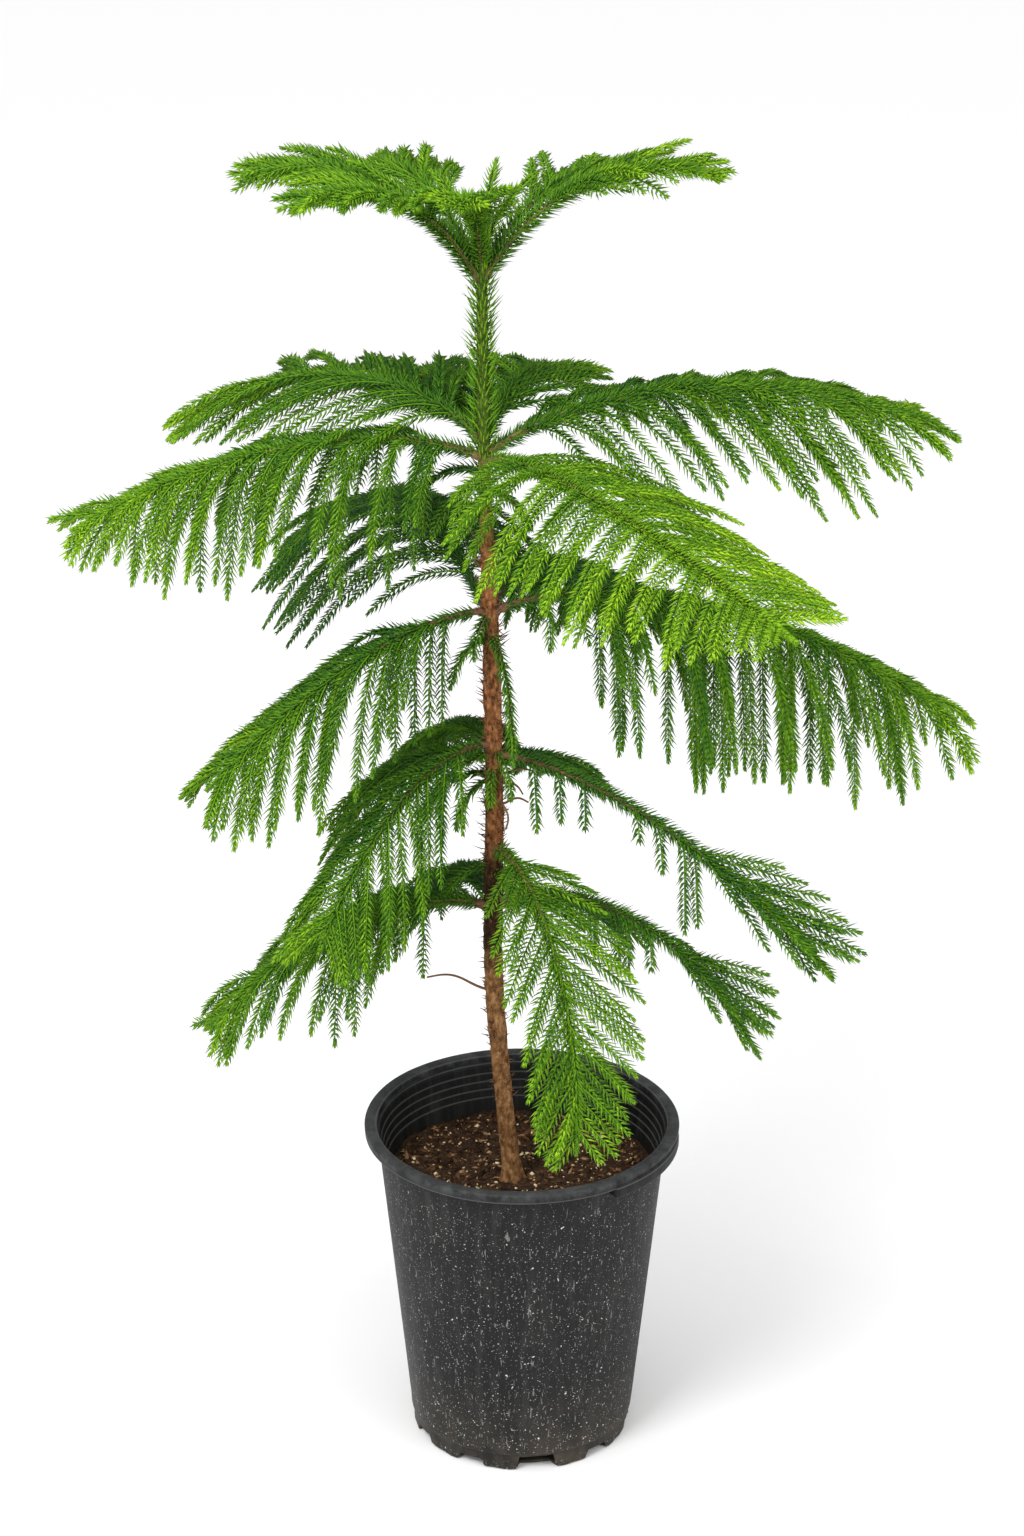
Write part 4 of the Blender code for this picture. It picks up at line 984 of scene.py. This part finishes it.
def dress_bough(name, row, number):
    """The limb, twigs and needles of one bough. Those of the upper tiers and the front one are young,
    and turn green nearer the trunk."""
    rng = np.random.default_rng(100 + number)
    tier = int(name[4])
    young = tier > 3 or name == "tier1_front"
    limb = limb_mesh(name + "_limb", row, YOUNG_LIMB_BARK if young else OLD_LIMB_BARK)
    if row["bare"] > 0.0:
        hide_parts(name + "_bough")
    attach(limb, "root")

    lines, way, across, length, share = branchlets(row, BRANCHLET_GAP[tier], LONE_SHOOTS.get(name), rng)
    twig_shape = twig_shapes(lines, way, across, TWIG_FOOT_RADIUS, TWIG_TIP_RADIUS)
    twigs = put_mesh(name + "_twigs", *twig_shape, [greens[3]])
    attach(twigs, "root")

    # The tone scale is partly real freshness and partly painted light and shade: brighter on the front
    # boughs and towards the tips, darker on the back boughs and near the trunk
    inner, span = row["inner"], row["outer"] - row["inner"]
    base = inner + span * share**1.3 + rng.normal(0.0, 0.40, len(share))

    def twig_freshness_and_light(owner, place):
        return base[owner] + 0.9 * (place - 0.55) + rng.uniform(-0.80, 0.80, len(owner))

    def stem_freshness_and_light(owner, place):
        return inner - 0.4 + span * place + rng.uniform(-0.6, 0.5, len(owner))

    twig_needles, twig_tone = needles_along(lines, way, across, length, twig_freshness_and_light, rng)
    # Needles on the stem itself, all round
    stem_start = (YOUNG_STEM_NEEDLES_START if young else STEM_NEEDLES_START) / row["length"]
    places = np.linspace(stem_start, 1.0, STEM_POINTS) * (FINE - 1)
    stem, stem_way, stem_side = (pick(places, np.arange(FINE), what)[None] for what in arch(row, FINE))
    reach = np.array([row["length"] * (1 - stem_start)])
    pitch, size = STEM_NEEDLE_PITCH, STEM_NEEDLE_LENGTH
    if tier == 5:
        pitch, size = CROWN_NEEDLE_PITCH, CROWN_NEEDLE_LENGTH
    stem_needles, stem_tone = needles_along(
        stem, unit(stem_way), unit(stem_side), reach, stem_freshness_and_light, rng, pitch, size,
        STEM_NEEDLE_ROWS, STEM_NEEDLE_LEAN)
    tone = np.concatenate((twig_tone, stem_tone))
    needles = put_mesh(name + "_needles", *join_shapes((twig_needles, stem_needles)), greens, tone)
    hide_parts(name + "_foliage")
    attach(needles, "root")


for number, (name, values) in enumerate(BOUGHS.items()):
    dress_bough(name, dict(zip(COLUMNS, values)), number)


# Needles on the green trunk and the leading bud
# The young trunk above the fourth tier keeps its needles, about 18 mm long and swept upwards. A few
# shorter ones are left below that tier, and round the growing tip they close into a tuft.

GOLDEN_ANGLE = 2.39996
TRUNK_NEEDLE_WIDTH = 0.0018


def needles_round_trunk(name, height, turn, sunk, length, width, lean, bow, materials, tones):
    """One piece of needles round the trunk. Each is rooted at the sunk share of the trunk's radius and
    leans outwards from straight up."""
    out = turned(1.0, 0.0, turn)
    foot = trunk_at(height) + out * (trunk_radius(height) * sunk)[:, None]
    way = np.tile(UP, (len(turn), 1))
    shape = needle_shapes(foot, way, out, np.zeros(len(turn)), length, width, lean, bow)
    return put_mesh(name, *shape, materials, np.repeat(tones, NEEDLE_FACES))


def trunk_needles(name, low, high, pitch, size, tones, seed, node, lean=60.0, bow=22.0):
    """Needles in a spiral up the trunk by the golden angle."""
    rng = np.random.default_rng(seed)
    height = np.arange(low, high, pitch)
    count = len(height)
    height = height + rng.uniform(-0.4, 0.4, count) * pitch
    turn = np.arange(count) * GOLDEN_ANGLE
    length = size * rng.uniform(0.8, 1.15, count)
    lean = lean + rng.normal(0.0, 7.0, count)
    piece = needles_round_trunk(
        name, height, turn, 0.7, length, TRUNK_NEEDLE_WIDTH, lean, bow, greens,
        rng.choice(tones, count))
    if node:
        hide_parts(node)
    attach(piece, "root")


trunk_needles("green_trunk_needles", 0.925, 1.085, 0.00042, 0.0180, (2, 3, 3), 31, "trunk_needles")
trunk_needles("sparse_trunk_needles", 0.845, 0.925, 0.0012, 0.014, (1, 1, 2), 32, None)
trunk_needles("leader_needles", 1.085, 1.138, 0.00016, 0.0145, (2, 3, 4), 33, "leader_tuft", 36.0, 18.0)


# Short shoots on the trunk
# Between the tiers the trunk bears a few weak shoots of its own: one hangs a hand's width below the
# third tier, three stand up round the leading bud, and others are stunted or quite dead.

SHOOT_NEEDLE_PITCH = 0.0038
SHOOT_NEEDLE_LENGTH = 0.0125
SHOOT_NEEDLE_ROWS = np.radians((0, 55, 125, 180, 235, 305))
SHOOT_STEPS = 40
SHOOT_RADII = (0.0012, 0.0005)
DEAD_SHOOT_STEPS = 24
DEAD_SHOOT_RADII = (0.0014, 0.0009)
KINK = 0.0022
# The last column places each shoot on the list of greens, partly by how fresh it is and partly as
# painted shade: the shoots deep in the crown near the trunk are darker
SHOOT_COLUMNS = ("height", "azimuth", "length", "launch", "tip", "ease", "freshness_and_light")
SHOOTS = {
    "hanging_twig": (
        (0.772, 288, 0.125, 12, -92, 0.5, 1.4),
    ),
    "drooping_shoot": (
        (0.668, 310, 0.05, 20, -90, 0.4, 1.6), (0.655, 262, 0.04, 10, -90, 0.4, 1.8),
        (0.552, 300, 0.052, 35, -62, 0.6, 2.4), (0.64, 190, 0.06, 10, -85, 0.5, 1.6),
        (0.79, 240, 0.045, 15, -80, 0.5, 1.2), (0.905, 215, 0.07, 25, -70, 0.6, 1.0),
        (0.915, 165, 0.08, 30, -60, 0.6, 0.8), (0.9, 330, 0.055, 25, -65, 0.6, 1.2),
        (0.77, 205, 0.06, 20, -80, 0.5, 1.4), (0.662, 205, 0.09, 25, -75, 0.6, 1.6),
        (0.645, 165, 0.095, 15, -70, 0.6, 1.2), (0.56, 182, 0.06, 15, -70, 0.6, 1.4),
    ),
    "crown_shoot": (
        (1.09, 75, 0.092, 80, 35, 1.2, 2.2), (1.09, 20, 0.09, 80, 30, 1.2, 2.2),
        (1.09, 150, 0.09, 80, 30, 1.2, 2.2),
    ),
    "dead_shoot": (
        (0.438, 178, 0.062, 34, 4, 0.7), (0.64, 330, 0.03, 0, -35, 1.0),
        (0.648, 355, 0.034, -5, 5, 1.0), (0.6, 15, 0.016, 30, 50, 1.0),
        (0.632, 320, 0.04, -20, -88, 0.4), (0.618, 2, 0.03, 8, -10, 1.0),
    ),
}
dead_wood = plain_finish("dead twig", (0.20, 0.105, 0.050), 0.8)


def numbered(*kinds):
    """Name and values of each shoot of these kinds, with a number where a kind has more than one."""
    for kind in kinds:
        for number, values in enumerate(SHOOTS[kind], 1):
            yield kind if len(SHOOTS[kind]) == 1 else f"{kind}_{number}", values


for number, (name, values) in enumerate(numbered("hanging_twig", "drooping_shoot", "crown_shoot")):
    shoot = dict(zip(SHOOT_COLUMNS, values), sweep=0.0)
    rng = np.random.default_rng(51 + number)
    line, way, side = (what[None] for what in arch(shoot, SHOOT_STEPS))
    shape, tone = needles_along(
        line, way, side, np.array([shoot["length"]]),
        lambda owner, place: shoot["freshness_and_light"] + place + rng.uniform(-0.6, 0.6, len(owner)),
        rng, SHOOT_NEEDLE_PITCH, SHOOT_NEEDLE_LENGTH, SHOOT_NEEDLE_ROWS)
    needles = put_mesh(name + "_needles", *shape, greens, tone)
    if name == "hanging_twig":
        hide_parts(name)
    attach(needles, "root")
    stem = put_mesh(name + "_stem", *twig_shapes(line, way, side, *SHOOT_RADII), [OLD_LIMB_BARK])
    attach(stem, "root")
for name, values in numbered("dead_shoot"):
    shoot = dict(zip(SHOOT_COLUMNS, values), sweep=12.0)
    line, way, side = (what[None] for what in arch(shoot, DEAD_SHOOT_STEPS))
    wave = np.sin(np.linspace(0.0, 7.0, DEAD_SHOOT_STEPS))[None, :, None]
    kinked = line + KINK * wave * np.cross(way, side)
    stem = put_mesh(name, *twig_shapes(kinked, way, side, *DEAD_SHOOT_RADII), [dead_wood])
    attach(stem, "root")


# Needle stubs
# Below the fourth tier the trunk keeps the dried bases of its first needles, thin and brown, that
# stand out from the bark or curl upwards. They are fewer and shorter round the first tier and below.

STUB_WIDTH = 0.0014
stub_tones = [
    dead_wood,
    plain_finish("dry needle red", (0.27, 0.105, 0.040), 0.8),
    plain_finish("dry needle dark", (0.060, 0.030, 0.016), 0.8),
]
for name, low, high, count, size, seed in (
    ("trunk_stubs_upper", 0.56, 0.86, 560, 0.0125, 71),
    ("trunk_stubs_lower", 0.33, 0.56, 220, 0.0080, 72),
):
    rng = np.random.default_rng(seed)
    height = rng.uniform(low, high, count)
    turn = rng.uniform(0, 2 * math.pi, count)
    length = size * rng.uniform(0.5, 1.3, count)
    lean = rng.normal(72.0, 16.0, count)
    bow = rng.normal(12.0, 18.0, count)[:, None]
    tones = rng.choice(len(stub_tones), count)
    stubs = needles_round_trunk(
        name, height, turn, 0.85, length, STUB_WIDTH, lean, bow, stub_tones, tones)
    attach(stubs, "root")


# Floor, light and camera
# A plain pale studio floor under broad soft lights, seen from a little above the plant's waist.

FLOOR_RADIUS = 12.0
FLOOR_DROP = 0.0004
FLOOR_SIDES = 64


def soft_light(name, location, target, size, power):
    """Square area light that faces its target."""
    data = bpy.data.lights.new(name, "AREA")
    data.size = size
    data.energy = power
    light = add_object(name, data)
    aim = unit(np.array(target, float) - np.array(location, float))
    light.location = location
    light.rotation_euler = (math.acos(-aim[2]), 0.0, math.atan2(aim[1], aim[0]) - math.pi / 2)


# A wide flat disc of one face, a hair below the pot's foot
floor_turn = even_turns(FLOOR_SIDES)
floor_rim = turned(FLOOR_RADIUS, -FLOOR_DROP, floor_turn)
floor_finish = plain_finish("pale studio floor", (0.90, 0.90, 0.90), 0.9, 0.1)
floor = put_mesh("floor", floor_rim, [np.arange(FLOOR_SIDES)[None]], [floor_finish], smooth=False)

sun_data = bpy.data.lights.new("window light", "SUN")
sun_data.energy = 2.1
sun_data.angle = math.radians(110.0)
sun = add_object("window light", sun_data)
sun.rotation_euler = (math.radians(30.0), math.radians(-8.0), 0.0)
soft_light("key light", (-1.3, -1.9, 2.9), (0, 0, 0.65), 1.1, 60)
soft_light("fill light", (2.4, -1.8, 1.6), (0, 0, 0.6), 2.0, 22)
world = bpy.data.worlds.new("studio")
world.use_nodes = True
backdrop = world.node_tree.nodes["Background"].inputs
backdrop["Color"].default_value = (1.0, 1.0, 1.0, 1.0)
backdrop["Strength"].default_value = 0.50
bpy.context.scene.world = world
bpy.context.scene.view_settings.view_transform = "Standard"

camera_data = bpy.data.cameras.new("camera")
camera_data.sensor_width = 36.0
camera_data.lens = 95.2
camera = add_object("camera", camera_data)
camera.location = (-0.0085, -3.2, 2.005)
camera.rotation_euler = (math.radians(66.93), 0.0, 0.0)
bpy.context.scene.camera = camera
